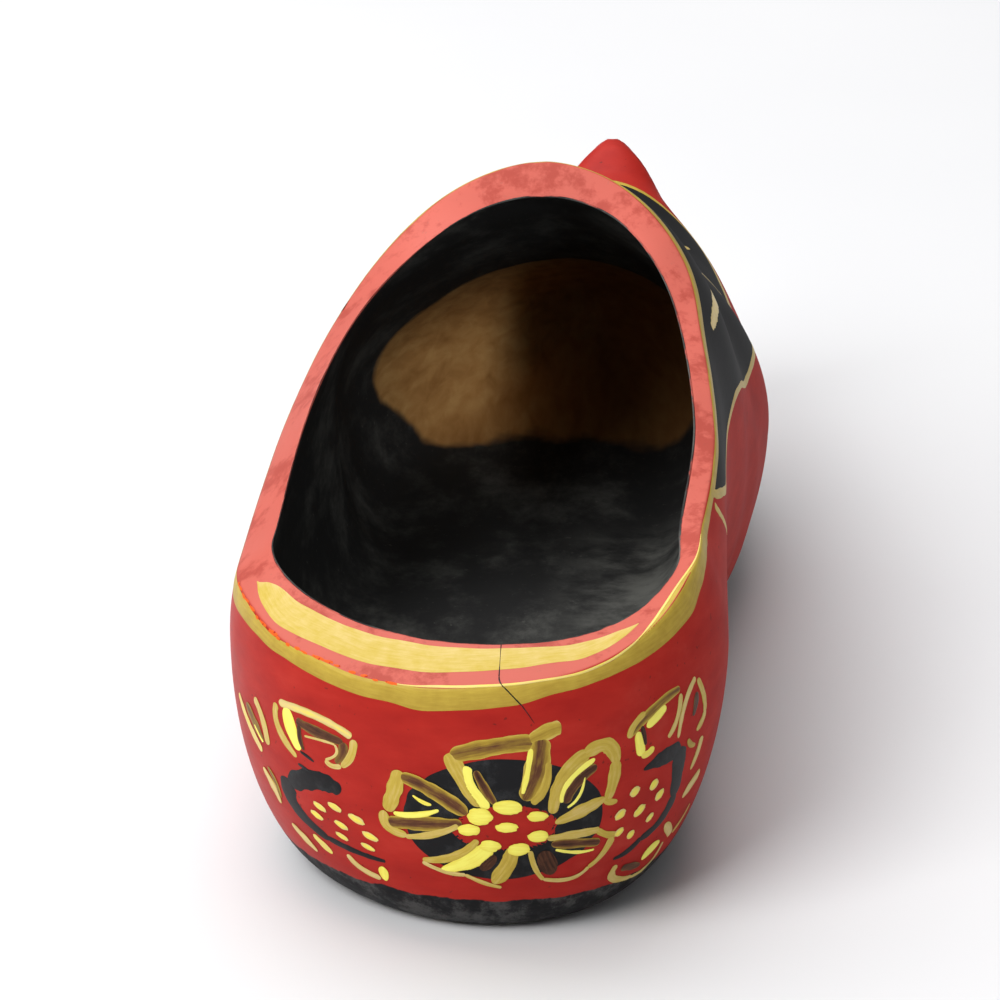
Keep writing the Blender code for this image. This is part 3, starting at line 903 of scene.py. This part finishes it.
def side_chart():
    """The heel and sides: round from the back's middle, positive to the inner side, and up from the sole."""
    stations = np.linspace(HEEL_AXIS, SIDE_CHART_END, SIDE_CHART_STATIONS)
    turn, along = round_the_heel(SIDE_CHART_TURNS, stations)
    section = block_section(along)
    up = np.arange(0, SIDE_CHART_TOP, CHART_STEP)
    climb = np.linspace(-1, SIDE_CHART_CLIMB, DENSE_STEPS)
    around, strips = {}, {}
    for side in SIDES:
        around[side] = side * lengths_along(surface(section, side, along, turn, np.zeros_like(along)))
        rows = surface(columns_of(section), side, along[:, None], turn[:, None], climb)
        strips[side] = np.array([resample(row, lengths_along(row), up) for row in rows])
    first = np.concatenate([around[OUTER_SIDE][:0:-1], around[INNER_SIDE]])
    return Chart(first, up, np.concatenate([strips[OUTER_SIDE][:0:-1], strips[INNER_SIDE]]))


def vamp_chart():
    """The forefoot's top: across from the ridge, positive to the inner side, and along from heel to toe."""
    along = np.arange(VAMP_START, VAMP_END, 2 * CHART_STEP)
    across = np.arange(-VAMP_HALF, VAMP_HALF, CHART_STEP)
    climb = np.linspace(0, 1, DENSE_STEPS)
    section = columns_of(block_section(along))
    inner, outer = (surface(section, side, along[:, None], 0.0, climb) for side in SIDES)
    strips = []
    for left, right in zip(outer, inner):
        line = np.concatenate([left[:-1], right[::-1]])
        measure = lengths_along(line)
        strips.append(resample(line, measure - measure[len(climb) - 1], across))
    return Chart(across, along, np.array(strips).transpose(1, 0, 2))


def rim_chart(points, below_rim):
    """The rim and what lies below it: round from the back's middle, and over the edge, negative below it."""
    columns = list(range(APEX_PATH, len(points))) + list(range(APEX_PATH + 1))
    back = len(points) - APEX_PATH
    rows = slice(UNDER_STEPS, -UNDER_STEPS)
    edge = np.array([resample(points[i, rows], -below_rim[i, rows], [0.0])[0] for i in columns])
    first = lengths_along(edge)
    coarse = np.arange(-RIM_CHART_DOWN, RIM_CHART_FINE_FROM, RIM_CHART_COARSE)
    fine = np.arange(RIM_CHART_FINE_FROM, RIM_CHART_IN, RIM_CHART_FINE)
    second = np.concatenate([coarse, fine])
    strips = [resample(points[i, rows], -below_rim[i, rows], second) for i in columns]
    return Chart(first - first[back], second, np.array(strips))


# Meshes

def with_round_tip(points):
    """Points with the toe's last stretch drawn out to a round cap."""
    start, end = BLOCK[-2][0], TOE_END
    rounded = end - (end - points[..., 1]) ** 2 / (end - start)
    along = np.where(points[..., 1] > start, rounded, points[..., 1])
    return np.stack([points[..., 0], along, points[..., 2]], axis=-1)


def weld(points):
    """Points without repeats, where each old point went, and the first old point at each place."""
    keys = np.round(points, WELD_DECIMALS) + 0.0
    _, first, place = np.unique(keys, axis=0, return_index=True, return_inverse=True)
    return points[first], place.reshape(-1), first


def grid_faces(columns, rows, closed=False):
    i = np.arange(columns if closed else columns - 1)[:, None]
    k = np.arange(rows - 1)[None]
    ahead = (i + 1) % columns
    corners = (i * rows + k, ahead * rows + k, ahead * rows + k + 1, i * rows + k + 1)
    return np.stack(np.broadcast_arrays(*corners), -1).reshape(-1, 4)


def mesh_object(name, points, faces, material):
    """A piece that rides on the clog, without the faces that have closed up to a line."""
    corners = [list(dict.fromkeys(face)) for face in faces.tolist()]
    data = bpy.data.meshes.new(name)
    placed = (points - BLOCK_SHIFT) * MILLIMETRE
    data.from_pydata(placed.tolist(), [], [face for face in corners if len(face) > 2])
    data.validate()
    data.shade_smooth()
    data.materials.append(material)
    item = bpy.data.objects.new(name, data)
    bpy.context.scene.collection.objects.link(item)
    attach(item, "root")
    return item


def set_attribute(item, name, values):
    """Keep a number or a vector at each of a piece's points."""
    kind, field = ("FLOAT_VECTOR", "vector") if values.ndim > 1 else ("FLOAT", "value")
    layer = item.data.attributes.new(name, kind, "POINT")
    layer.data.foreach_set(field, np.ascontiguousarray(values, dtype=np.float32).reshape(-1))


def vertex_normals(points, faces):
    """Area-weighted normals of a mesh of four-cornered faces."""
    a, b, c, d = (points[faces[:, k]] for k in range(4))
    area = np.cross(c - a, d - b)
    normals = np.zeros_like(points)
    for k in range(4):
        np.add.at(normals, faces[:, k], area)
    return unit(normals)


def panel_reach(rim, chart):
    """How far the black panel reaches down from the rim at places round it."""
    share = np.where(rim > 0, rim / chart.first[-1], rim / chart.first[0])
    return np.where(share > PANEL[0][0], read_table(PANEL, 1, share), -PANEL_CLEAR)


def build_shell(ring, chart, material):
    points, below_rim, into_hollow, above_sole = ring
    columns, rows = points.shape[:2]
    rim = np.concatenate([chart.first[columns - APEX_PATH:], chart.first[1:columns - APEX_PATH]])
    panel = np.minimum(panel_reach(rim, chart)[:, None] - below_rim, below_rim + EDGE_LINE)
    flat, place, first = weld(with_round_tip(points).reshape(-1, 3))
    faces = place[grid_faces(columns, rows, closed=True)]
    depth = np.where(into_hollow.reshape(-1)[first] > 0, 0.0, PAINT_ROOM + knife_waves(flat))
    depth = depth * np.clip((TOE_END - flat[:, 1]) / TIP_FADE, TIP_SHARE, 1)
    shell = mesh_object("clog_shell", flat - vertex_normals(flat, faces) * depth[:, None], faces, material)
    measures = {
        "below_rim": below_rim,
        "into_hollow": into_hollow,
        "above_sole": above_sole,
        "panel": np.clip(panel, -PANEL_CLEAR, PANEL_CLEAR),
    }
    for name, values in measures.items():
        set_attribute(shell, name, values.reshape(-1)[first])
    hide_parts("clog_body")


# Brushed paint

class Paint:
    """Strokes and dabs of one colour that are gathered into one piece, each a layer above the last."""

    def __init__(self, chart, layer=0):
        self.chart = chart
        self.layer = layer
        self.points, self.faces, self.tones, self.brush = [], [], [], []
        self.count = 0

    def wobble(self, kind, places):
        """How unsteady this layer's edge is along its way, from -1 to 1."""
        rate, layer_step, seed = WOBBLES[kind]
        return unsteady(places * rate, self.layer * layer_step + seed)[:, None]

    def add(self, places, thick, tone, brush, closed=False):
        """Lay a grid of places on the chart, with its thickness, tone and brush measures at each place."""
        columns, rows = places.shape[:2]
        lift = np.broadcast_to(PAINT_BASE + PAINT_STEP * self.layer + thick, (columns, rows))
        brush = np.stack(np.broadcast_arrays(*brush, 0.0), axis=-1) + self.layer * BRUSH_SHIFT
        self.points.append(self.chart.at(places[..., 0], places[..., 1], lift).reshape(-1, 3))
        self.faces.append(grid_faces(columns, rows, closed) + self.count)
        self.tones.append(np.broadcast_to(tone, (columns, rows)).reshape(-1))
        self.brush.append(brush.reshape(-1, 3))
        self.count += columns * rows
        self.layer += 1

    def build(self, name, material):
        points, place, first = weld(np.concatenate(self.points))
        item = mesh_object(name, points, place[np.concatenate(self.faces)], material)
        set_attribute(item, "tone", np.concatenate(self.tones)[first])
        set_attribute(item, "brush", np.concatenate(self.brush)[first])


def through(start, middle, end, t):
    """Values on a smooth bend from start through middle to end."""
    control = 2 * middle - (start + end) / 2
    return start * (1 - t) ** 2 + control * 2 * t * (1 - t) + end * t * t


def aside_of(ahead):
    return np.stack([-ahead[:, 1], ahead[:, 0]], axis=-1)


def lay_stroke(paint, row):
    """One brush stroke, with round ends, thick in the middle and unsteady at its edges."""
    stroke = {"edge_tone": 0.0, "core_tone": 0.0, **dict(zip(STROKE_COLUMNS, row))}
    start, middle, end = (np.array((stroke[name + "_round"], stroke[name + "_up"])) for name in STROKE_PLACES)
    length = lengths_along(np.array((start, middle, end)))[-1]
    steps = max(STROKE_LEAST_STEPS, int(length / STROKE_STEP))
    t = (0.5 - 0.5 * np.cos(np.linspace(0, math.pi, steps + 1)))[:, None]
    centre = through(start, middle, end, t)
    width = through(*(stroke[name + "_width"] for name in STROKE_PLACES), t)
    from_end = length * np.minimum(t, 1 - t) / (0.5 * np.maximum(width, STROKE_LEAST_WIDTH))
    ends = np.sqrt(1 - np.clip(1 - from_end, 0, 1) ** 2)
    v = np.linspace(-1, 1, STROKE_ACROSS + 1)[None]
    out = 0.5 * width * ends * (1 + STROKE_WOBBLE * paint.wobble("stroke", t * length)) * v
    places = centre[:, None] + aside_of(unit(np.gradient(centre, axis=0)))[:, None] * out[..., None]
    tone = stroke["core_tone"] + (stroke["edge_tone"] - stroke["core_tone"]) * np.abs(v) ** STROKE_TONE_POWER
    paint.add(places, PAINT_THICK * ends * (1 - v ** PAINT_EDGE_POWER), tone, (t * length, out))


def lay_dab(paint, centre, half, tilt=0.0, edge_tone=0.0, core_tone=0.0, thick=FILM_THICK, rough=DAB_WOBBLE):
    """A dab or a filled patch of paint: its half sizes, its tilt in degrees, and how thick it stands."""
    around = max(DAB_LEAST_ROUND, int(2 * math.pi * max(half) / DAB_STEP))
    rings = max(DAB_LEAST_RINGS, int(max(half) / DAB_STEP))
    angle = np.linspace(0, 2 * math.pi, around, endpoint=False)[:, None]
    share = np.linspace(0, 1, rings + 1)[None]
    ragged = DAB_RAGGED[0] * np.cos(angle) + DAB_RAGGED[1] * np.sin(angle)
    uneven = 1 + rough * paint.wobble("dab", ragged)
    x, y = half[0] * uneven * share * np.cos(angle), half[1] * uneven * share * np.sin(angle)
    turn = math.radians(tilt)
    across = x * math.cos(turn) - y * math.sin(turn)
    up = x * math.sin(turn) + y * math.cos(turn)
    places = np.stack([centre[0] + across, centre[1] + up], axis=-1)
    tone = core_tone + (edge_tone - core_tone) * share ** DAB_TONE_POWER
    paint.add(places, thick * np.sqrt(1 - share ** 2), tone, (x, y), closed=True)


def lay_band(paint, rows, low_tone, high_tone):
    """A long band that follows the chart's first measure, between a low and a high edge."""
    start = max(rows[0][0], paint.chart.first[0])
    end = min(rows[-1][0], paint.chart.first[-1])
    along = np.linspace(start, end, int((end - start) / BAND_STEP) + 2)[:, None]
    uneven = BAND_WOBBLE * paint.wobble("band", along)
    low, high = read_table(rows, 1, along) + uneven, read_table(rows, 2, along) + uneven
    v = np.linspace(0, 1, BAND_ACROSS + 1)[None]
    places = np.stack(np.broadcast_arrays(along, low + (high - low) * v), axis=-1)
    thick = PAINT_THICK * (1 - (2 * v - 1) ** PAINT_EDGE_POWER)
    paint.add(places, thick, low_tone + (high_tone - low_tone) * v, (along, (high - low) * v))


def lay_line(paint, centre, width, tone):
    """A line of even width along places on the chart, where the chart may be stretched round the clog."""
    first = paint.chart.first
    low, high = (np.clip(centre[:, 0] + side * CHART_STEP, first[0], first[-1]) for side in (-1, 1))
    ends = [paint.chart.at(place, centre[:, 1], np.zeros(len(centre))) for place in (low, high)]
    stretch = np.linalg.norm(ends[1] - ends[0], axis=-1) / (high - low)
    ahead = np.gradient(centre, axis=0)
    ahead[:, 0] *= stretch
    aside = aside_of(unit(ahead))
    aside[:, 0] /= np.maximum(stretch, LEAST_STRETCH)
    v = np.linspace(-1, 1, BAND_ACROSS + 1)[None]
    length = lengths_along(centre)[:, None]
    out = 0.5 * width * (1 + STROKE_WOBBLE * paint.wobble("line", length)) * v
    places = centre[:, None] + aside[:, None] * out[..., None]
    paint.add(places, PAINT_THICK * (1 - v ** PAINT_EDGE_POWER), tone, (length, out))


def moved(row, shift=(0.0, 0.0), mirror=1):
    """A stroke's row with its three places moved on the chart, or laid on the other side of its middle."""
    signs = (mirror, 1)
    places = [signs[index % 2] * value + shift[index % 2] for index, value in enumerate(row[:PLACE_VALUES])]
    return (*places, *row[PLACE_VALUES:])


def lay_on_both_sides(paint, rows):
    for row in rows:
        lay_stroke(paint, row)
        lay_stroke(paint, moved(row, mirror=-1))


def build_round_flower(name, chart, shift, gold, red):
    """The flower of the heel's back, moved on its chart, with a red centre."""
    petals, centre = Paint(chart, PETAL_LAYER), Paint(chart, CENTRE_LAYER)
    lay_dab(centre, np.array(HEEL_CENTRE_PLACE) + shift, HEEL_CENTRE_HALF, rough=CENTRE_WOBBLE)
    for row in HEEL_STROKES:
        lay_stroke(petals, moved(row, shift))
    for across, up, *half in HEEL_DOTS:
        lay_dab(petals, (across + shift[0], up + shift[1]), half, 0.0, *HEEL_DOT_TONES, DAB_THICK)
    centre.build(name + "_centre", red)
    petals.build(name + "_petals", gold)


def build_heel_flower(chart, gold, black, red):
    disc = Paint(chart)
    lay_dab(disc, HEEL_DISC_PLACE, HEEL_DISC_HALF, rough=DISC_WOBBLE)
    disc.build("heel_flower_disc", black)
    build_round_flower("heel_flower", chart, (0.0, 0.0), gold, red)


def build_vamp_ornament(chart, gold, red):
    shift = np.array(VAMP_FLOWER_PLACE) - HEEL_CENTRE_PLACE
    build_round_flower("vamp_flower", chart, shift, gold, red)
    leaves = Paint(chart)
    lay_on_both_sides(leaves, VAMP_LEAVES)
    leaves.build("vamp_leaves", gold)


def build_side_flower(name, chart, strokes, dark_strokes, dots, dot_tilt, gold, black):
    petals, dark = Paint(chart, PETAL_LAYER), Paint(chart)
    for row in dark_strokes:
        lay_stroke(dark, row)
    for row in strokes:
        lay_stroke(petals, row)
    for across, up, *half in dots:
        lay_dab(petals, (across, up), half, dot_tilt, *SIDE_DOT_TONES, DAB_THICK)
    dark.build(name + "_crescent", black)
    petals.build(name + "_petals", gold)


def build_rim_paint(chart, gold, black):
    line, crescent, crack = Paint(chart), Paint(chart), Paint(chart, CRACK_LAYER)
    lay_band(line, RIM_LINE, *RIM_LINE_TONES)
    # A pale band painted as the highlight along the rim's outer edge.
    lay_band(line, RIM_EDGE_HIGHLIGHT, *RIM_EDGE_HIGHLIGHT_TONES)
    lay_dab(line, RIM_STAIN_PLACE, RIM_STAIN_HALF, 0.0, *RIM_STAIN_TONES)
    lay_band(crescent, RIM_CRESCENT, *RIM_CRESCENT_TONES)
    for row in CRACK:
        lay_stroke(crack, row)
    line.build("rim_line", gold)
    crescent.build("rim_crescent", gold)
    crack.build("crack", black)


def build_chips(chart, material):
    """Small ragged chips along the edge between the rim and the gold line."""
    chips = Paint(chart)
    start, end = CHIP_STRETCH
    for index in range(CHIP_COUNT):
        shift, size, tilt = unsteady(index * CHIP_RATES + CHIP_SEEDS, CHIP_SEED)
        along = start + (end - start) * (index + 0.5 + CHIP_SHIFT * shift) / CHIP_COUNT
        over = float(read_table(RIM_LINE, 2, np.array(along))) + CHIP_LIFT + CHIP_SPREAD * tilt
        length = CHIP_HALF[0] * (CHIP_LENGTHS[0] + CHIP_LENGTHS[1] * size)
        width = CHIP_HALF[1] * (CHIP_WIDTHS[0] + CHIP_WIDTHS[1] * shift)
        chips.layer = CHIP_LAYER
        lay_dab(chips, (along, over), (length, width), CHIP_TILT * tilt, rough=CHIP_WOBBLE)
    chips.build("rim_chips", material)


def build_panel_border(chart, gold):
    border = Paint(chart)
    for end in (chart.first[0], chart.first[-1]):
        share = np.linspace(PANEL[0][0], 1.0, PANEL_BORDER_STEPS)
        centre = np.stack([share * end, -read_table(PANEL, 1, share)], axis=-1)
        lay_line(border, centre if end > 0 else centre[::-1], PANEL_BORDER_WIDTH, PANEL_BORDER_TONE)
    lay_on_both_sides(border, SIDE_SPRIGS)
    border.build("panel_border", gold)


# Materials

class Nodes:
    """A node tree, with short ways to add the nodes that the looks are mixed from."""

    def __init__(self, owner):
        owner.use_nodes = True
        self.tree = owner.node_tree

    def connect(self, socket, value):
        if isinstance(value, bpy.types.NodeSocket):
            self.tree.links.new(value, socket)
        else:
            socket.default_value = value

    def add(self, kind, inputs=None, **settings):
        made = self.tree.nodes.new(kind)
        for name, value in settings.items():
            setattr(made, name, value)
        for name, value in (inputs or {}).items():
            self.connect(made.inputs[name], value)
        return made

    def coordinates(self, kind):
        return self.add("ShaderNodeTexCoord").outputs[kind]

    def millimetres(self):
        """The place on the piece in millimetres."""
        inputs = {0: self.coordinates("Object"), "Scale": 1 / MILLIMETRE}
        return self.add("ShaderNodeVectorMath", inputs, operation="SCALE").outputs["Vector"]

    def attribute(self, name, output="Fac"):
        return self.add("ShaderNodeAttribute", attribute_name=name).outputs[output]

    def split(self, vector):
        return self.add("ShaderNodeSeparateXYZ", {"Vector": vector}).outputs

    def calculate(self, operation, first, second):
        return self.add("ShaderNodeMath", {0: first, 1: second}, operation=operation).outputs["Value"]

    def plus(self, first, second):
        return self.calculate("ADD", first, second)

    def minus(self, first, second):
        return self.calculate("SUBTRACT", first, second)

    def times(self, first, second):
        return self.calculate("MULTIPLY", first, second)

    def centred(self, value, amount):
        """Noise about 0.5 turned into noise about nothing, of an amount."""
        return self.times(self.minus(value, 0.5), amount)

    def step(self, value, low, high):
        """From 0 below low to 1 above high, or the other way round where low is above high."""
        inputs = {"Value": value, "From Min": low, "From Max": high}
        return self.add("ShaderNodeMapRange", inputs, interpolation_type="SMOOTHSTEP").outputs["Result"]

    def texture(self, place, name):
        """Smooth noise of a kind, about 0.5 on average."""
        stretch, size, detail, roughness, distortion = TEXTURES[name]
        if stretch != EVEN:
            inputs = {0: place, 1: stretch}
            place = self.add("ShaderNodeVectorMath", inputs, operation="MULTIPLY").outputs["Vector"]
        inputs = {
            "Vector": place, "Scale": 1.0 / size, "Detail": detail,
            "Roughness": roughness, "Distortion": distortion,
        }
        return self.add("ShaderNodeTexNoise", inputs).outputs["Fac"]

    def patch(self, place, name):
        """Where a kind of patch shows: its noise between two levels, as strong as its share."""
        low, high, share = PATCHES[name]
        spread = self.step(self.texture(place, name), low, high)
        return self.times(spread, share) if share < 1 else spread

    def mix(self, data_type, kind, share, first, second):
        node = self.add("ShaderNodeMix", data_type=data_type)
        sockets = {socket.identifier: socket for socket in (*node.inputs, *node.outputs)}
        for name, value in (("Factor_Float", share), ("A_" + kind, first), ("B_" + kind, second)):
            self.connect(sockets[name], value)
        return sockets["Result_" + kind]

    def colour(self, share, first, second):
        return self.mix("RGBA", "Color", share, first, second)

    def value(self, share, first, second):
        return self.mix("FLOAT", "Float", share, first, second)

    def ramp(self, value, stops):
        node = self.add("ShaderNodeValToRGB", {"Fac": value})
        elements = node.color_ramp.elements
        while len(elements) < len(stops):
            elements.new(0.5)
        for element, (place, colour) in zip(elements, stops):
            element.position = place
            element.color = colour
        return node.outputs["Color"]

    def dress(self, colour, rough, height, relief):
        """Give the shader its colour, roughness and relief, the last as strength and depth in millimetres."""
        strength, depth = relief
        inputs = {"Height": height, "Strength": strength, "Distance": depth * MILLIMETRE}
        normal = self.add("ShaderNodeBump", inputs).outputs["Normal"]
        shader = self.tree.nodes["Principled BSDF"]
        for name, value in (("Base Color", colour), ("Roughness", rough), ("Normal", normal)):
            self.connect(shader.inputs[name], value)


def new_material(name):
    material = bpy.data.materials.new(name)
    nodes = Nodes(material)
    nodes.tree.nodes["Principled BSDF"].inputs["Specular IOR Level"].default_value = SATIN
    return material, nodes


def srgb(red, green, blue):
    """A colour from its usual 0 to 255 values."""
    parts = [value / 255 for value in (red, green, blue)]
    linear = [part / 12.92 if part <= 0.04045 else ((part + 0.055) / 1.055) ** 2.4 for part in parts]
    return (*linear, 1.0)


def red_colour(nodes, place):
    """Satin red paint: mottled where it was brushed thin, with pale rubbed places and a few dark specks."""
    colour = nodes.ramp(nodes.texture(place, "mottle"), RED_STOPS)
    colour = nodes.colour(nodes.patch(place, "rubbed"), colour, RED_RUBBED)
    return nodes.colour(nodes.patch(place, "specks"), colour, DIRT)


def red_height(nodes, place):
    """Brush marks and the wood's grain under red paint."""
    grain = nodes.times(nodes.texture(place, "fine_grain"), FINE_GRAIN_SHARE)
    return nodes.plus(nodes.texture(place, "brush_marks"), grain)


def red_material():
    material, nodes = new_material("red_paint")
    place = nodes.millimetres()
    rough = nodes.value(nodes.texture(place, "sheen"), *RED_ROUGH)
    nodes.dress(red_colour(nodes, place), rough, red_height(nodes, place), RED_RELIEF)
    return material


def chip_material():
    material, nodes = new_material("chipped_paint")
    place = nodes.millimetres()
    colour = nodes.colour(nodes.patch(place, "chip_red"), CHIP, RED_DARK)
    rough = nodes.value(nodes.texture(place, "chip_sheen"), *CHIP_ROUGH)
    nodes.dress(colour, rough, nodes.texture(place, "chip_grain"), CHIP_RELIEF)
    return material


def black_material():
    material, nodes = new_material("black_paint")
    place = nodes.millimetres()
    dust = nodes.patch(place, "stroke_dust")
    colour = nodes.colour(dust, BLACK, BLACK_DUSTY)
    nodes.dress(colour, nodes.value(dust, *BLACK_ROUGH), nodes.texture(place, "stroke_grain"), BLACK_RELIEF)
    return material


def gold_material(name, streakiness):
    """Gold, yellow and brown glaze in one brushed paint: the tone along each stroke chooses the colour."""
    material, nodes = new_material(name)
    streaks = nodes.texture(nodes.attribute("brush", "Vector"), "streaks")
    pools = nodes.texture(nodes.millimetres(), "pools")
    tone = nodes.plus(nodes.attribute("tone"), nodes.centred(streaks, streakiness))
    tone = nodes.plus(tone, nodes.centred(pools, POOL_AMOUNT))
    nodes.dress(nodes.ramp(tone, GOLD_STOPS), nodes.value(streaks, *GOLD_ROUGH), streaks, GOLD_RELIEF)
    return material


def shell_masks(nodes, place):
    """How far a place on the shell belongs to each kind of surface, from 0 to 1, with ragged edges."""
    ragged = nodes.texture(place, "ragged")
    masks = {"outside": nodes.step(nodes.attribute("below_rim"), *RIM_EDGE)}
    for name, (measure, amount, low, high) in SURFACES.items():
        value = nodes.plus(nodes.attribute(measure), nodes.centred(ragged, amount))
        masks[name] = nodes.step(value, low, high)
    masks["rim"] = nodes.minus(1.0, nodes.plus(masks["outside"], masks["inside"]))
    return masks


def outer_colour(nodes, place, masks, dust):
    """Red paint, stained on the rim and paler there, partly faded and partly a painted highlight where the
    rim faces up to the light, and black paint on the panel, the worn band and the tread.
    """
    # The rim's paler red is partly fade and partly a painted highlight of its up-facing face.
    colour = nodes.colour(nodes.times(masks["rim"], RIM_FADE_AND_HIGHLIGHT_SHARE), red_colour(nodes, place), RIM_FADE_AND_HIGHLIGHT)
    stain = nodes.times(masks["rim"], nodes.patch(place, "rim_stain"))
    colour = nodes.colour(stain, colour, RIM_STAIN)
    black = nodes.colour(dust, BLACK, BLACK_DUSTY)
    colour = nodes.colour(masks["panel"], colour, black)
    band = nodes.colour(nodes.patch(place, "band_wear"), black, BAND_WORN)
    colour = nodes.colour(masks["band"], colour, band)
    trodden = nodes.step(nodes.split(place)["Z"], *TREAD_HEIGHTS)
    return nodes.colour(nodes.times(trodden, nodes.patch(place, "tread_wear")), colour, TREAD_WORN)


def inner_dust(nodes, place):
    """Dust in patches, thickest near the heel on the inner side."""
    across, along, _ = nodes.split(place)
    near = nodes.times(nodes.step(across, *HEEL_DUST_ACROSS), nodes.step(along, *HEEL_DUST_ALONG))
    swept = nodes.times(near, nodes.patch(place, "heel_dust"))
    return nodes.calculate("MAXIMUM", nodes.patch(place, "scuffs"), swept)


def inner_colour(nodes, place, dust, grain):
    """Dusty black paint that ends in the toe, and bare wood beyond it, with painted shade on its inner half.
    """
    across, along, up = nodes.split(place)
    black = nodes.colour(dust, INSIDE_BLACK, INSIDE_DUST)
    black = nodes.colour(nodes.patch(place, "grit"), black, INSIDE_GRIT)
    # Painted shade darkens the bare wood towards the inner side, where the toe lies in shadow.
    shaded = nodes.times(nodes.step(across, *WOOD_SHADE_ACROSS), WOOD_SHADE_SHARE)
    wood = nodes.colour(shaded, nodes.ramp(grain, WOOD_STOPS), WOOD_PAINTED_SHADE)
    bare = nodes.plus(along, nodes.times(nodes.texture(place, "bare_edge"), BARE_RAGGED))
    bare = nodes.plus(bare, nodes.step(up, *BARE_LOW_HEIGHTS))
    bare = nodes.minus(bare, nodes.times(nodes.step(up, *BARE_FLOOR_HEIGHTS), BARE_FLOOR_BACK))
    return nodes.colour(nodes.step(bare, BARE_FROM, BARE_FROM + BARE_SOFT), black, wood)


def shell_roughness(nodes, place, masks, dust, inside_dust):
    rough = nodes.value(nodes.texture(place, "sheen"), *SHELL_ROUGH)
    to_inner_side = nodes.step(nodes.split(place)["X"], *INNER_SIDE_ACROSS)
    rough = nodes.value(to_inner_side, rough, INNER_SIDE_ROUGH)
    rough = nodes.value(masks["panel"], rough, nodes.value(dust, *PANEL_ROUGH))
    rough = nodes.value(masks["band"], rough, BAND_ROUGH)
    return nodes.value(masks["inside"], rough, nodes.value(inside_dust, *INSIDE_ROUGH))


def shell_material():
    """The whole clog's paint: red outside, black band and panel, black inside, bare wood deep in the toe."""
    material, nodes = new_material("clog_paint")
    place = nodes.millimetres()
    masks = shell_masks(nodes, place)
    dust, inside_dust = nodes.patch(place, "panel_dust"), inner_dust(nodes, place)
    grain = nodes.texture(place, "wood_grain")
    inside = inner_colour(nodes, place, inside_dust, grain)
    colour = nodes.colour(masks["inside"], outer_colour(nodes, place, masks, dust), inside)
    height = nodes.plus(red_height(nodes, place), nodes.times(grain, masks["inside"]))
    nodes.dress(colour, shell_roughness(nodes, place, masks, dust, inside_dust), height, SHELL_RELIEF)
    return material


def floor_material():
    material, nodes = new_material("floor")
    inputs = {"Vector": nodes.coordinates("Object"), "Scale": FLOOR_MOTTLE}
    mottle = nodes.add("ShaderNodeTexNoise", inputs).outputs["Fac"]
    shader = nodes.tree.nodes["Principled BSDF"]
    nodes.connect(shader.inputs["Base Color"], nodes.colour(mottle, *(srgb(*tone) for tone in FLOOR_TONES)))
    shader.inputs["Roughness"].default_value = FLOOR_ROUGH
    return material


# Stage, light and camera

def add_floor():
    data = bpy.data.meshes.new("floor")
    corners = [(x * FLOOR_HALF, y * FLOOR_HALF, 0) for x, y in ((-1, -1), (1, -1), (1, 1), (-1, 1))]
    data.from_pydata(corners, [], [(0, 1, 2, 3)])
    data.materials.append(floor_material())
    floor = bpy.data.objects.new("floor", data)
    bpy.context.scene.collection.objects.link(floor)


def place_and_aim(name, data, place, target):
    item = bpy.data.objects.new(name, data)
    item.location = place
    item.rotation_euler = (Vector(target) - item.location).to_track_quat("-Z", "Y").to_euler()
    bpy.context.scene.collection.objects.link(item)
    return item


def add_lights():
    for name, place, target, size, power in LIGHTS:
        light = bpy.data.lights.new(name, "AREA")
        light.size = size
        light.energy = power
        place_and_aim(name, light, place, target)
    lamp = bpy.data.lights.new("lamp", "SPOT")
    lamp.energy = LAMP_POWER
    lamp.spot_size = math.radians(LAMP_ANGLE)
    lamp.spot_blend = LAMP_BLEND
    lamp.shadow_soft_size = LAMP_SIZE
    place_and_aim("lamp", lamp, LAMP_PLACE, LAMP_TARGET)


def add_world():
    world = bpy.data.worlds.new("world")
    nodes = Nodes(world)
    way = nodes.split(nodes.coordinates("Generated"))
    sky = nodes.colour(nodes.step(way["X"], *SKY_DARK_SPAN), nodes.ramp(way["Z"], SKY_STOPS), SKY_DARK_SIDE)
    background = nodes.tree.nodes["Background"]
    nodes.connect(background.inputs["Color"], sky)
    background.inputs["Strength"].default_value = WORLD_STRENGTH
    bpy.context.scene.world = world


def add_camera():
    camera = bpy.data.cameras.new("camera")
    camera.sensor_width = SENSOR_WIDTH
    camera.lens = LENS
    bpy.context.scene.camera = place_and_aim("camera", camera, CAMERA_PLACE, CAMERA_TARGET)


def build_clog():
    ring = ring_of_profiles()
    rim = rim_chart(*ring[:2])
    sides = side_chart()
    gold, plain_gold = (gold_material(name, streakiness) for name, streakiness in GOLD_STREAKS)
    black, red = black_material(), red_material()
    build_shell(ring, rim, shell_material())
    build_heel_flower(sides, gold, black, red)
    outer = (OUTER_STROKES, OUTER_DARK, OUTER_DOTS, OUTER_DOT_TILT)
    build_side_flower("outer_flower", sides, *outer, gold, black)
    inner = (INNER_STROKES, INNER_DARK, INNER_DOTS, INNER_DOT_TILT)
    build_side_flower("inner_flower", sides, *inner, gold, black)
    build_rim_paint(rim, plain_gold, black)
    build_chips(rim, chip_material())
    build_panel_border(rim, plain_gold)
    build_vamp_ornament(vamp_chart(), gold, red)


def set_the_stage():
    add_floor()
    add_world()
    add_lights()
    add_camera()
    bpy.context.scene.view_settings.view_transform = "Standard"


build_clog()
set_the_stage()
